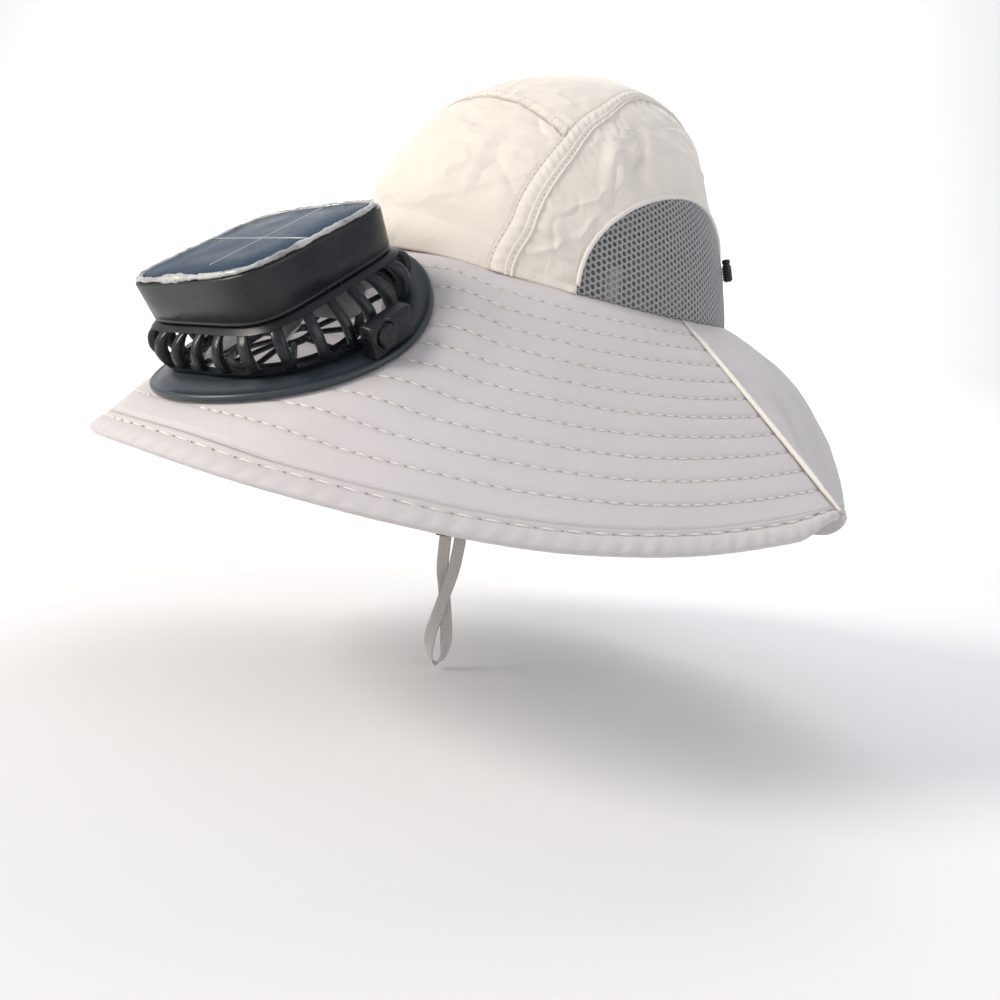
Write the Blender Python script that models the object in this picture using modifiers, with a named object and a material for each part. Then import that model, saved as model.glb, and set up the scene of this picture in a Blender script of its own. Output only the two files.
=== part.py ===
# Wide-brim sun hat with a solar fan on the front of its brim.
# Metres, +Z up. The front of the hat faces -Y and the wearer's left is +X. The origin is the
# middle of the head opening, in the plane where the crown meets the brim.

import math

import bmesh
import bpy
from mathutils import Matrix, Vector

MM = 0.001
DEG = math.pi / 180

# Clearance between pieces that touch
GAP = 0.3 * MM

# Head opening: the oval line where crown and brim are sewn together
HEAD_HALF_LENGTH = 103.1 * MM
HEAD_HALF_WIDTH = 86.9 * MM
HEAD_LINE_WAVE = 4.4 * MM
# turns round the oval, share of the wave as a cosine, share as a sine
HEAD_LINE_WAVES = ((1, 0.2, -0.25), (2, 1.0, -0.95))

# Crown
CROWN_HEIGHT = 118 * MM
CROWN_CLOTH = 1.4 * MM
CROWN_TAPER = 1.6
CROWN_ROUND = 2.2
CROWN_LEAN = 20 * MM
CROWN_LEAN_BACK = 2.3
SEAM_OUT = 50 * MM
# share of the way over the crown from front to back, the seam's distance from the middle as a share of SEAM_OUT
SEAM_TRACK = ((0.0, 0.91), (0.08, 1.0), (0.2, 1.02), (0.3, 0.97), (0.45, 0.82), (0.6, 0.8), (0.8, 0.82), (1.0, 0.8))
BAND_WIDTH = 9 * MM
BAND_TOP_WIDTH = 6 * MM
BAND_CLOTH = 2.0 * MM
BAND_PROUD = 0.6 * MM
SEAM_CUT = 0.5 * MM
BAND_CUT = 0.8 * MM
TOP_SEAM_HEIGHT = 80 * MM
TOP_SEAM_SLANT = 0.05
BACK_SEAM_HEIGHT = 62 * MM
POUF = 4.0 * MM
POUF_HEIGHT = 7 * MM
POUF_HALF_ANGLE = 30 * DEG
# where a crease crosses the crown: angle round from the front, height share, half width as an angle, depth share
CREASE_DEPTH = 1.6 * MM
CREASES = (
    (8, 0.30, 9, 1.0),
    (-14, 0.42, 8, 0.8),
    (24, 0.36, 6, -0.7),
    (60, 0.50, 5, 1.0),
    (69, 0.56, 5, -0.8),
    (-62, 0.52, 6, 0.9),
    (-100, 0.60, 8, -0.7),
    (112, 0.62, 6, 0.7),
    (132, 0.55, 40, -1.7),
    (165, 0.35, 9, 1.0),
    (-160, 0.3, 8, -0.8),
)

# Mesh windows in the side panels
MESH_MIDDLE = 97 * DEG
MESH_HALF_ANGLE = 45 * DEG
MESH_HEIGHT = 54.5 * MM
MESH_CLOTH = 1.0 * MM
MESH_COLUMNS = 19
MESH_ROWS = 5
MESH_SPREAD_SHARE = 0.95
PIPING_RADIUS = 1.5 * MM
PIPING_POINTS = 15

# Brim
BRIM_WIDTH = 134.3 * MM
BRIM_SLOPE = 41.8 * DEG
BRIM_BEND = 3.1 * DEG
# turns round the oval, then the shares by which width, slope and bend change with them
BRIM_WAVES = ((1, 0.004, -0.01, 0.13), (2, 0.096, 0.092, 0.71), (3, 0.0, -0.141, 0.0))
BRIM_STEPS = 8
BRIM_COLUMNS = 36
BRIM_ROWS = 10
BRIM_CLOTH = 2.4 * MM
BRIM_SIDE_SEAM = 85.1 * DEG
HEM_WIDTH = 10.5 * MM
HEM_CLOTH = 3.6 * MM
HEM_PROUD = 0.5 * MM
HEM_CUT = 0.9 * MM
SIDE_PIPING_RADIUS = 1.3 * MM
REAR_CLOTH = 1.4 * MM
REAR_COLUMNS = 30
REAR_ROWS = 6
# behind the side seams the brim is soft and falls steeply, less so towards the back
REAR_DROOP = 20 * DEG
REAR_DROOP_BEND = 27 * DEG
REAR_DROOP_SPAN = 15 * DEG
REAR_TRIM = 0.09
REAR_EASE_FROM = 20 * DEG
REAR_EASE_SPAN = 70 * DEG
REAR_HEM_WIDTH = 7 * MM
REAR_HEM_CLOTH = 2.2 * MM
FOLD_DEPTH = 4.0 * MM
# angle of a soft fold of the rear brim from the front, half width as an angle, depth share
REAR_FOLDS = (
    (97, 9, 0.8),
    (112, 8, -0.9),
    (128, 10, 1.0),
    (147, 9, -1.0),
    (166, 11, 0.9),
    (187, 10, -0.8),
    (206, 11, 1.0),
    (226, 9, -1.0),
    (243, 9, 0.8),
    (259, 8, -0.7),
)

# Fan unit, on the front of the brim. Its frame: forward out over the brim, left, and an axis up out of it
FAN_ACROSS = -1.3 * MM
FAN_OUT = 50.4 * MM
FAN_DROP = 37.8 * MM
FAN_PLACE = Vector((FAN_ACROSS, -HEAD_HALF_LENGTH - FAN_OUT, -FAN_DROP))
FAN_PITCH = 35.1 * DEG
FAN_LEAN = 1.6 * DEG
FAN_TWIST = 4.3 * DEG
FLANGE_RADIUS = 58.6 * MM
FLANGE_WALL = 2.0 * MM
FLANGE_SEGMENTS = 36
# the flange lies on the curved brim: its height at the cage's foot and at its rim, how far it falls to the sides, how far it climbs at the back
FLANGE_FOOT_HEIGHT = 4.3 * MM
FLANGE_RIM_HEIGHT = 2.1 * MM
FLANGE_FOOT_DROP = 11.4 * MM
FLANGE_RIM_DROP = 7.6 * MM
FLANGE_CLIMB = 8.2 * MM
FLANGE_SAG_REACH = 59 * MM
BRIM_EASE = 24 * MM
SEAT_SLACK = 0.6 * MM
CAGE_FOOT = 45.5 * MM
CAGE_WALL = 2.2 * MM
CAGE_RIBS = 24
RIB_SHARE = 0.36
CAGE_LEDGE = 1.0 * MM
# share of the cage's height, half width there, how square it is (2 is a circle)
CAGE_PROFILE = (
    (0.0, 45.5 * MM, 2.34),
    (0.2, 47.6 * MM, 2.6),
    (0.5, 47.4 * MM, 3.2),
    (0.78, 44.0 * MM, 4.2),
    (0.93, 39.8 * MM, 5.0),
    (1.0, 37.0 * MM, 5.2),
)
BOX_HALF_BOTTOM = 38.5 * MM
BOX_HALF_TOP = 39.4 * MM
BOX_POWER = 5.0
BOX_BOTTOM = 19.8 * MM
BOX_HEIGHT = 16.1 * MM
# how far the box's top rises for each millimetre forward and to the left
BOX_TOP_RISES = (0.027, 0.044)
BOX_EDGE = 1.4 * MM
BOX_SEGMENTS = 40
PANEL_HALF = 36.0 * MM
PANEL_THICK = 1.2 * MM
PANEL_SEGMENTS = 32
SEALANT_RADIUS = 1.5 * MM
SEALANT_PROUD = 0.7 * MM
HOLE_RADIUS = 42 * MM
GUARD_RADIUS = 52 * MM
GUARD_EYE = 6 * MM
GUARD_THICK = 2.2 * MM
GUARD_RAYS = 10
# shares of the way from the eye to the outer edge of the guard: the ring of rays, a hoop, rays, the clamping rim
GUARD_RINGS = (0.0, 0.42, 0.5, 0.78, 1.0)
ROTOR_RADIUS = 38.5 * MM
ROTOR_BLADES = 7
BLADE_BOTTOM = 4.6 * MM
BLADE_TOP = 14.0 * MM
BLADE_THICK = 1.4 * MM
BLADE_ROOT_SINK = 2 * MM
BLADE_CAMBER = 0.8 * MM
# width across the flow and tilt, at the hub and at the tip
BLADE_CHORDS = (8 * MM, 17 * MM)
BLADE_TILTS = (52 * DEG, 32 * DEG)
HUB_RADIUS = 12 * MM
HUB_HEIGHT = 11.5 * MM
MOTOR_RADIUS = 10 * MM
SHAFT_RADIUS = 1.5 * MM
SHAFT_REACH = 8 * MM
SHAFT_SINK = 1 * MM
BORE_SLACK = 0.5 * MM
SWITCH_LENGTH = 22 * MM
SWITCH_DEPTH = 7 * MM
SWITCH_HEIGHT = 12 * MM
SWITCH_EDGE = 1.2 * MM
SWITCH_FORWARD = 0.5 * MM
SWITCH_LEFT = 53.2 * MM
BUTTON_RADIUS = 4.3 * MM
BUTTON_FORWARD = 5 * MM
BUTTON_HEIGHT_SHARE = 0.6
BUTTON_PROUD = 2.4 * MM
BUTTON_TRAVEL = 1.0 * MM
BUTTON_SEAT = 1.8 * MM

# Size toggle at the back end of the left mesh window
TOGGLE_ANGLE = 119 * DEG
TOGGLE_HEIGHT_SHARE = 0.23
TOGGLE_LENGTH = 11 * MM
TOGGLE_RADIUS = 2.5 * MM

# Chin strap: a flat ribbon
STRAP_WIDTH = 6.0 * MM
STRAP_CLOTH = 0.9 * MM
STRAP_SEGMENTS = 52
SLIDER_HEIGHT = 5 * MM
SLIDER_WALL = 1.4 * MM
SLIDER_SLACK = 0.8 * MM
SLIDER_DROP = -119.5 * MM
STRAP_SIDE = Vector((0.746, 0.666, 0.0))
STRAP_FACE = Vector((0.666, -0.746, 0.0))
STRAP_CENTRE = Vector((0.0, -46 * MM, 0.0))
# points chosen by hand, in millimetres: x, y and z, with the turn of the ribbon in degrees
STRAP_FROM_LEFT = (
    (73.6, -47.0, 10.0, 27),
    (73.8, -46.5, -6.0, 25),
    (68.0, -46.0, -34.0, 12),
    (51.0, -46.0, -66.0, 0),
    (27.0, -46.0, -93.0, 0),
    (9.5, -46.0, -106.0, 30),
)
# below the slider: sideways, towards the front left, height, turn of the ribbon in degrees
STRAP_LOOP = (
    (3.6, 0.0, -113.0, 48),
    (3.6, 0.2, -124.5, 48),
    (2.6, 0.9, -138.0, 44),
    (0.2, 1.5, -150.0, 36),
    (-2.4, 1.4, -162.0, 44),
    (-4.4, 0.8, -173.0, 62),
    (-3.4, 0.2, -182.0, 110),
    (0.0, 0.0, -186.5, 138),
    (3.4, -0.2, -182.0, 166),
    (3.6, -0.8, -173.0, 214),
    (1.8, -1.4, -162.0, 232),
    (-0.6, -1.5, -150.0, 236),
    (-3.0, -0.9, -138.0, 230),
    (-3.6, -0.2, -124.5, 228),
    (-3.6, 0.0, -113.0, 228),
)

CLOTH_COLOUR = (0.80, 0.75, 0.68)
BRIM_COLOUR = (0.66, 0.63, 0.61)
PIPING_COLOUR = (0.86, 0.82, 0.74)
MESH_COLOUR = (0.42, 0.43, 0.43)
BLACK_COLOUR = (0.026, 0.03, 0.035)
BLADE_COLOUR = (0.30, 0.31, 0.32)
CELL_COLOUR = (0.02, 0.045, 0.09)
SEALANT_COLOUR = (0.62, 0.63, 0.58)
STEEL_COLOUR = (0.55, 0.55, 0.56)


def clear_scene():
    for old in list(bpy.data.objects):
        bpy.data.objects.remove(old, do_unlink=True)
    parts = bpy.data.collections.new("solar_fan_hat")
    cutters = bpy.data.collections.new("cutters")
    bpy.context.scene.collection.children.link(parts)
    bpy.context.scene.collection.children.link(cutters)
    return parts, cutters


def make_material(name, colour, roughness, metallic=0.0):
    material = bpy.data.materials.new(name)
    material.use_nodes = True
    shader = material.node_tree.nodes["Principled BSDF"]
    shader.inputs["Base Color"].default_value = (*colour, 1.0)
    shader.inputs["Roughness"].default_value = roughness
    shader.inputs["Metallic"].default_value = metallic
    return material


PARTS, CUTTERS = clear_scene()
CLOTH = make_material("crown_cloth", CLOTH_COLOUR, 0.75)
BRIM = make_material("brim_cloth", BRIM_COLOUR, 0.8)
PIPING = make_material("piping", PIPING_COLOUR, 0.7)
MESH = make_material("mesh_net", MESH_COLOUR, 0.7)
BLACK = make_material("black_plastic", BLACK_COLOUR, 0.38)
BLADE = make_material("blade_plastic", BLADE_COLOUR, 0.45)
CELL = make_material("solar_cell", CELL_COLOUR, 0.15)
SEALANT = make_material("sealant", SEALANT_COLOUR, 0.3)
STEEL = make_material("motor_steel", STEEL_COLOUR, 0.35, 1.0)


def add_part(name, bm, material, collection=PARTS):
    mesh = bpy.data.meshes.new(name)
    bm.to_mesh(mesh)
    bm.free()
    part = bpy.data.objects.new(name, mesh)
    collection.objects.link(part)
    mesh.materials.append(material)
    return part


def thicken(part, thickness, offset=-1.0):
    wall = part.modifiers.new("wall", "SOLIDIFY")
    wall.thickness = thickness
    wall.offset = offset
    wall.use_even_offset = True
    return part


def sheet(name, surface, across, along, thickness, material, offset=-1.0, is_hole=None):
    """A grid of cells laid on surface(u, v), then given its thickness. Cells named by is_hole stay open."""
    bm = bmesh.new()
    bmesh.ops.create_grid(bm, x_segments=across, y_segments=along, size=0.5)
    if is_hole:
        open_cells = []
        for face in bm.faces:
            middle = face.calc_center_median()
            column = int((middle.x + 0.5) * across)
            row = int((middle.y + 0.5) * along)
            if is_hole(column, row):
                open_cells.append(face)
        bmesh.ops.delete(bm, geom=open_cells, context="FACES")
    for vert in bm.verts:
        vert.co = surface(vert.co.x + 0.5, vert.co.y + 0.5)
    bmesh.ops.remove_doubles(bm, verts=bm.verts[:], dist=0.02 * MM)
    part = add_part(name, bm, material)
    return thicken(part, thickness, offset)


def tube(name, points, radius, material, sides=1):
    """A round cord through the points, with closed ends."""
    data = bpy.data.curves.new(name, "CURVE")
    data.dimensions = "3D"
    data.bevel_depth = radius
    data.bevel_resolution = sides
    data.use_fill_caps = True
    line = data.splines.new("POLY")
    line.points.add(len(points) - 1)
    for spot, place in zip(line.points, points):
        spot.co = (*place, 1.0)
    part = bpy.data.objects.new(name, data)
    PARTS.objects.link(part)
    data.materials.append(material)
    return part


def cut(part, cutter):
    cutter.hide_render = True
    cutter.display_type = "WIRE"
    slot = part.modifiers.new("cut_" + cutter.name, "BOOLEAN")
    slot.operation = "DIFFERENCE"
    slot.object = cutter


def smooth_step(value):
    value = min(max(value, 0.0), 1.0)
    return value * value * (3 - 2 * value)


def read_track(rows, share):
    """The second column of the rows at this share, eased between neighbours."""
    for (low, first), (high, second) in zip(rows, rows[1:]):
        if share <= high:
            return first + (second - first) * smooth_step((share - low) / (high - low))
    return rows[-1][1]


def bump_at(distance):
    """A soft hump, 1 at its middle and 0 one half width away."""
    return (1 - distance * distance) ** 2 if abs(distance) < 1 else 0.0


def turn_between(angle, middle):
    """The signed angle from middle to angle, the short way round."""
    return (angle - middle + math.pi) % (2 * math.pi) - math.pi


# Head line and crown


def head_line(angle):
    height = 0.0
    for turns, cosine, sine in HEAD_LINE_WAVES:
        height += HEAD_LINE_WAVE * (cosine * math.cos(turns * angle) + sine * math.sin(turns * angle))
    return Vector((HEAD_HALF_WIDTH * math.sin(angle), -HEAD_HALF_LENGTH * math.cos(angle), height))


def outward(angle):
    flat = Vector((math.sin(angle) / HEAD_HALF_WIDTH, -math.cos(angle) / HEAD_HALF_LENGTH, 0.0))
    return flat.normalized()


def crown_girth(rise):
    return max(1 - rise**CROWN_TAPER, 1e-6) ** (1 / CROWN_ROUND)


def crown_lean(rise):
    return CROWN_LEAN * (CROWN_LEAN_BACK * rise * rise - 1.28 * rise)


def crown_bare(angle, rise):
    girth = crown_girth(rise)
    foot = head_line(angle)
    return Vector((foot.x * girth, foot.y * girth + crown_lean(rise), CROWN_HEIGHT * rise + (1 - rise) * foot.z))


def crown_relief(angle, rise):
    """How far the cloth stands proud of the plain crown: the pouf over the brim and the creases."""
    lift = POUF * bump_at((rise * CROWN_HEIGHT - POUF_HEIGHT) / (2 * POUF_HEIGHT))
    lift *= bump_at(turn_between(angle, 0) / POUF_HALF_ANGLE) if rise > 0 else 0.0
    for place, height, half, share in CREASES:
        across = turn_between(angle, place * DEG) / (half * DEG)
        lift += CREASE_DEPTH * share * bump_at(across) * bump_at((rise - height) / 0.2)
    return lift


def crown_point(angle, rise, proud=0.0):
    step = 0.01
    rise = min(max(rise, 0.0), 0.985)
    here = crown_bare(angle, rise)
    side = crown_bare(angle + step, rise) - crown_bare(angle - step, rise)
    up = crown_bare(angle, min(rise + step, 0.99)) - crown_bare(angle, max(rise - step, 0.0))
    normal = side.cross(up).normalized()
    return here + normal * (crown_relief(angle, rise) + proud)


def strip_place(x, share):
    """Angle and rise of the point at x, share of the way over the crown from front to back."""
    top = (1 - min(abs(x) / HEAD_HALF_WIDTH, 0.999) ** CROWN_ROUND) ** (1 / CROWN_TAPER)
    rise = min(top * math.sin(math.pi * share), 0.985)
    angle = math.asin(max(-1.0, min(1.0, x / (HEAD_HALF_WIDTH * crown_girth(rise)))))
    return (angle, rise) if share <= 0.5 else (math.pi - angle, rise)


def seam_x(share):
    return SEAM_OUT * read_track(SEAM_TRACK, share)


def band_half(share):
    return 0.5 * (BAND_WIDTH + (BAND_TOP_WIDTH - BAND_WIDTH) * math.sin(math.pi * share))


def strip_point(side, offset, share, proud=0.0):
    """A point beside the seam line on one side (+1 left, -1 right), offset outwards from it."""
    angle, rise = strip_place(side * (seam_x(share) + offset), share)
    return crown_point(angle, rise, proud)


def share_at_height(height, back=False):
    """The share of the way over the crown where its middle reaches this height."""
    top = math.asin(min(height / CROWN_HEIGHT, 0.99)) / math.pi
    return 1 - top if back else top


def middle_panel(name, start, end, across, along, slant_start=0.0, slant_end=0.0):
    def surface(u, v):
        sway = (2 * u - 1) ** 2
        first = start - slant_start * start * sway
        last = end - slant_end * end * sway
        share = first + (last - first) * v
        reach = seam_x(share) - band_half(share) - BAND_CUT
        angle, rise = strip_place((2 * u - 1) * reach, share)
        return crown_point(angle, rise)

    return sheet(name, surface, across, along, CROWN_CLOTH, CLOTH)


def make_crown_middle():
    front_end = share_at_height(TOP_SEAM_HEIGHT)
    back_start = share_at_height(BACK_SEAM_HEIGHT, back=True)
    cut_share = SEAM_CUT / (math.pi * CROWN_HEIGHT)
    middle_panel("crown_front_panel", 0.0, front_end - cut_share, 11, 7, 0.0, TOP_SEAM_SLANT)
    middle_panel("crown_top_panel", front_end + cut_share, back_start - cut_share, 8, 13, TOP_SEAM_SLANT)
    middle_panel("crown_back_panel", back_start + cut_share, 1.0, 10, 6)


def mesh_arch(side, share, grow):
    """Angle and rise of the window's edge, from its front foot over its top to its back foot."""
    turn = math.pi * share
    half = MESH_HALF_ANGLE + grow / HEAD_HALF_WIDTH
    top = (MESH_HEIGHT + grow) / CROWN_HEIGHT
    angle = MESH_MIDDLE - half * math.cos(turn)
    return side * angle, top * math.sin(turn)


def make_side_panel(name, side):
    def surface(u, v):
        seam_angle, seam_rise = strip_place(seam_x(v) + band_half(v) + BAND_CUT, v)
        arch_angle, arch_rise = mesh_arch(1, v, PIPING_RADIUS + GAP)
        angle = arch_angle + (seam_angle - arch_angle) * u
        rise = arch_rise + (seam_rise - arch_rise) * u
        return crown_point(side * angle, rise)

    return sheet(name, surface, 5, 15, CROWN_CLOTH, CLOTH, offset=-1.0 if side < 0 else 1.0)


def make_seam_band(name, side):
    def surface(u, v):
        return strip_point(side, (2 * u - 1) * band_half(v), v, BAND_PROUD)

    return sheet(name, surface, 2, 20, BAND_CLOTH, CLOTH, offset=-1.0 if side > 0 else 1.0)


def make_mesh_insert(name, side):
    def surface(u, v):
        spread = (2 * u - 1) * MESH_SPREAD_SHARE
        top = (MESH_HEIGHT - PIPING_RADIUS - GAP) / CROWN_HEIGHT * math.sqrt(1 - spread * spread)
        angle = MESH_MIDDLE + spread * (MESH_HALF_ANGLE - (PIPING_RADIUS + GAP) / HEAD_HALF_WIDTH)
        return crown_point(side * angle, top * v)

    def is_hole(column, row):
        return column % 2 == 1 and row % 2 == 1

    offset = -1.0 if side > 0 else 1.0
    return sheet(name, surface, MESH_COLUMNS, MESH_ROWS, MESH_CLOTH, MESH, offset, is_hole)


def make_mesh_piping(name, side):
    points = []
    for step in range(PIPING_POINTS):
        share = 0.03 + 0.94 * step / (PIPING_POINTS - 1)
        angle, rise = mesh_arch(side, share, 0.0)
        points.append(crown_point(angle, rise, -0.2 * MM))
    return tube(name, points, PIPING_RADIUS, PIPING)


# Brim


def rear_share(angle, start, span):
    """0 in front of the side seam, rising to 1 over the span that starts behind it."""
    behind = abs(turn_between(angle, 0)) - BRIM_SIDE_SEAM - start
    return smooth_step(behind / span)


def brim_width(angle):
    width = BRIM_WIDTH * (1 + sum(row[1] * math.cos(row[0] * angle) for row in BRIM_WAVES))
    return width * (1 - REAR_TRIM * rear_share(angle, 0.0, REAR_DROOP_SPAN))


def brim_slope(angle):
    slope = BRIM_SLOPE * (1 + sum(row[2] * math.cos(row[0] * angle) for row in BRIM_WAVES))
    slope += REAR_DROOP * rear_share(angle, 0.0, REAR_DROOP_SPAN)
    return slope - REAR_DROOP * rear_share(angle, REAR_EASE_FROM, REAR_EASE_SPAN)


def brim_bend(angle):
    bend = BRIM_BEND * (1 + sum(row[3] * math.cos(row[0] * angle) for row in BRIM_WAVES))
    return bend + REAR_DROOP_BEND * rear_share(angle, 0.0, REAR_DROOP_SPAN)


def brim_cone(angle, share):
    """A point of the plain brim, share of its width out from the head line."""
    reach = 0.0
    drop = 0.0
    for step in range(BRIM_STEPS):
        slope = brim_slope(angle) + brim_bend(angle) * (2 * (step + 0.5) / BRIM_STEPS * share - 1)
        reach += math.cos(slope) / BRIM_STEPS
        drop += math.sin(slope) / BRIM_STEPS
    width = share * brim_width(angle)
    return head_line(angle) + outward(angle) * reach * width - Vector((0, 0, drop * width))


def make_fan_frame():
    """Forward (X), left (Y) and the axis (Z) of the fan unit, about its middle."""
    turn = Matrix.Rotation(FAN_PITCH, 3, "X") @ Matrix.Rotation(FAN_LEAN, 3, "Y") @ Matrix.Rotation(FAN_TWIST, 3, "Z")
    sides = Matrix(((0, -1, 0), (1, 0, 0), (0, 0, 1))).transposed()
    frame = (turn @ sides).to_4x4()
    frame.translation = FAN_PLACE
    return frame


FAN_MATRIX = make_fan_frame()
FAN_FORWARD, FAN_LEFT, FAN_AXIS = (FAN_MATRIX.col[index].to_3d() for index in range(3))


def fan_point(forward, left, height):
    return FAN_MATRIX @ Vector((forward, left, height))


def flange_top(forward, left):
    """Height of the flange's upper face, which lies on the curve of the brim."""
    span = FLANGE_RADIUS - CAGE_FOOT
    rim = min(max((math.hypot(forward, left) - CAGE_FOOT) / span, 0.0), 1.0)
    height = FLANGE_FOOT_HEIGHT + (FLANGE_RIM_HEIGHT - FLANGE_FOOT_HEIGHT) * rim
    drop = FLANGE_FOOT_DROP + (FLANGE_RIM_DROP - FLANGE_FOOT_DROP) * rim
    climb = FLANGE_CLIMB * max(-forward / FLANGE_SAG_REACH, 0.0) ** 2
    return height - drop * (left / FLANGE_SAG_REACH) ** 2 + climb


def brim_bare(angle, share):
    """The brim's upper face, pressed to the underside of the fan's flange."""
    place = brim_cone(angle, share)
    away = place - FAN_PLACE
    forward = away.dot(FAN_FORWARD)
    left = away.dot(FAN_LEFT)
    distance = math.hypot(forward, left)
    hold = 1 - smooth_step((distance - FLANGE_RADIUS - 3 * MM) / BRIM_EASE)
    hold *= smooth_step(share / 0.045)
    if hold <= 0 or abs(turn_between(angle, 0)) > 60 * DEG:
        return place
    seat = flange_top(forward, left) - FLANGE_WALL - GAP - SEAT_SLACK
    return place + FAN_AXIS * hold * (seat - away.dot(FAN_AXIS))


def rear_relief(angle, share):
    lift = 0.0
    for place, half, depth in REAR_FOLDS:
        lift += depth * bump_at(turn_between(angle, place * DEG) / (half * DEG))
    return FOLD_DEPTH * lift * share**1.4


def brim_point(angle, share, proud=0.0):
    step = 0.01
    inner = max(share - step, 0.0)
    here = brim_bare(angle, share)
    side = brim_bare(angle + step, share) - brim_bare(angle - step, share)
    out = brim_bare(angle, share + step) - brim_bare(angle, inner)
    normal = out.cross(side).normalized()
    return here + normal * proud


def share_of(length, angle):
    return length / brim_width(angle)


def brim_strip(name, angles, shares, across, along, thickness, material, proud=None):
    """A piece of brim between two angles, from one share of the width to another."""

    def surface(u, v):
        angle = angles[0] + (angles[1] - angles[0]) * u
        share = shares(angle, v)
        return brim_point(angle, share, proud(angle, share, v) if proud else 0.0)

    return sheet(name, surface, across, along, thickness, material, offset=1.0)


def make_brim_front():
    half = BRIM_SIDE_SEAM - 0.25 * DEG

    def shares(angle, v):
        return share_of(SEAM_CUT, angle) + v * (1 - share_of(HEM_WIDTH + SEAM_CUT + HEM_CUT, angle))

    part = brim_strip("brim_front", (-half, half), shares, BRIM_COLUMNS, BRIM_ROWS, BRIM_CLOTH, BRIM)
    bm = bmesh.new()
    bmesh.ops.create_cone(
        bm, cap_ends=True, segments=32, radius1=HOLE_RADIUS, radius2=HOLE_RADIUS, depth=60 * MM, matrix=FAN_MATRIX
    )
    cut(part, add_part("brim_hole_cutter", bm, BLACK, CUTTERS))

    def hem_shares(angle, v):
        return 1 - share_of(HEM_WIDTH, angle) * (1 - v)

    def hem_proud(angle, share, v):
        return HEM_PROUD * math.sin(math.pi * v)

    brim_strip("brim_hem", (-half, half), hem_shares, BRIM_COLUMNS, 2, HEM_CLOTH, BRIM, hem_proud)


def make_brim_rear():
    first = BRIM_SIDE_SEAM + 0.25 * DEG
    last = 2 * math.pi - first

    def shares(angle, v):
        return share_of(SEAM_CUT, angle) + v * (1 - share_of(REAR_HEM_WIDTH + SEAM_CUT + HEM_CUT, angle))

    def proud(angle, share, v):
        return rear_relief(angle, share)

    brim_strip("brim_rear", (first, last), shares, REAR_COLUMNS, REAR_ROWS, REAR_CLOTH, BRIM, proud)

    def hem_shares(angle, v):
        return 1 - share_of(REAR_HEM_WIDTH, angle) * (1 - v)

    def hem_proud(angle, share, v):
        return rear_relief(angle, share) + 0.3 * MM

    brim_strip("brim_rear_hem", (first, last), hem_shares, REAR_COLUMNS, 1, REAR_HEM_CLOTH, BRIM, hem_proud)


def make_side_piping(name, side):
    points = []
    for step in range(12):
        share = 0.02 + 0.965 * step / 11
        proud = SIDE_PIPING_RADIUS + GAP + HEM_PROUD * smooth_step((share - 0.85) / 0.06)
        points.append(brim_point(side * BRIM_SIDE_SEAM, share, proud))
    return tube(name, points, SIDE_PIPING_RADIUS, PIPING)


# Fan unit


def ring_place(turn, half, power):
    """A point of a rounded square: a circle at power 2, squarer above it."""
    c = math.cos(turn)
    s = math.sin(turn)
    radius = half / (abs(c) ** power + abs(s) ** power) ** (1 / power)
    return radius * c, radius * s


def make_flange():
    inner = CAGE_FOOT - CAGE_WALL - CAGE_LEDGE

    def surface(u, v):
        turn = 2 * math.pi * u
        if v < 0.25:
            forward, left = ring_place(turn, inner, CAGE_PROFILE[0][2])
        else:
            forward, left = ring_place(turn, CAGE_FOOT if v < 0.75 else FLANGE_RADIUS, 2.0)
        return fan_point(forward, left, flange_top(forward, left))

    return sheet("fan_flange", surface, FLANGE_SEGMENTS, 2, FLANGE_WALL, BLACK, offset=1.0)


def make_cage():
    rows = len(CAGE_PROFILE) - 1

    def surface(u, v):
        height, half, power = CAGE_PROFILE[int(v * rows + 0.5)]
        rib, edge = divmod(int(u * 2 * CAGE_RIBS + 0.5), 2)
        turn = 2 * math.pi * (rib + edge * RIB_SHARE) / CAGE_RIBS
        forward, left = ring_place(turn, half, power)
        foot = flange_top(*ring_place(turn, CAGE_FOOT, CAGE_PROFILE[0][2])) + GAP + SEAT_SLACK
        return fan_point(forward, left, foot + (BOX_BOTTOM - GAP - foot) * height)

    def is_hole(column, row):
        return column % 2 == 1 and 0 < row < rows - 1

    return sheet("fan_cage", surface, 2 * CAGE_RIBS, rows, CAGE_WALL, BLACK, offset=-1.0, is_hole=is_hole)


def top_rise(forward, left):
    return BOX_TOP_RISES[0] * forward + BOX_TOP_RISES[1] * left


def rounded_slab(name, halves, bottom, height, edge, material, segments, bottom_rise=1.0):
    """A rounded-square block across the fan's axis, with its half widths at bottom and top; its top edge is bevelled."""
    bm = bmesh.new()
    bmesh.ops.create_cone(bm, cap_ends=True, segments=segments, radius1=1.0, radius2=1.0, depth=1.0)
    for vert in bm.verts:
        share = vert.co.z + 0.5
        half = halves[0] + (halves[1] - halves[0]) * share
        forward, left = ring_place(math.atan2(vert.co.y, vert.co.x), half, BOX_POWER)
        rise = top_rise(forward, left) * (bottom_rise + (1 - bottom_rise) * share)
        vert.co = Vector((forward, left, bottom + height * share + rise))
    if edge > 0:
        middle = bottom + height / 2
        rim = [item for item in bm.edges if min(vert.co.z for vert in item.verts) > middle]
        bmesh.ops.bevel(bm, geom=rim, offset=edge, segments=2, profile=0.5, affect="EDGES")
    bm.transform(FAN_MATRIX)
    return add_part(name, bm, material)


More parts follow.
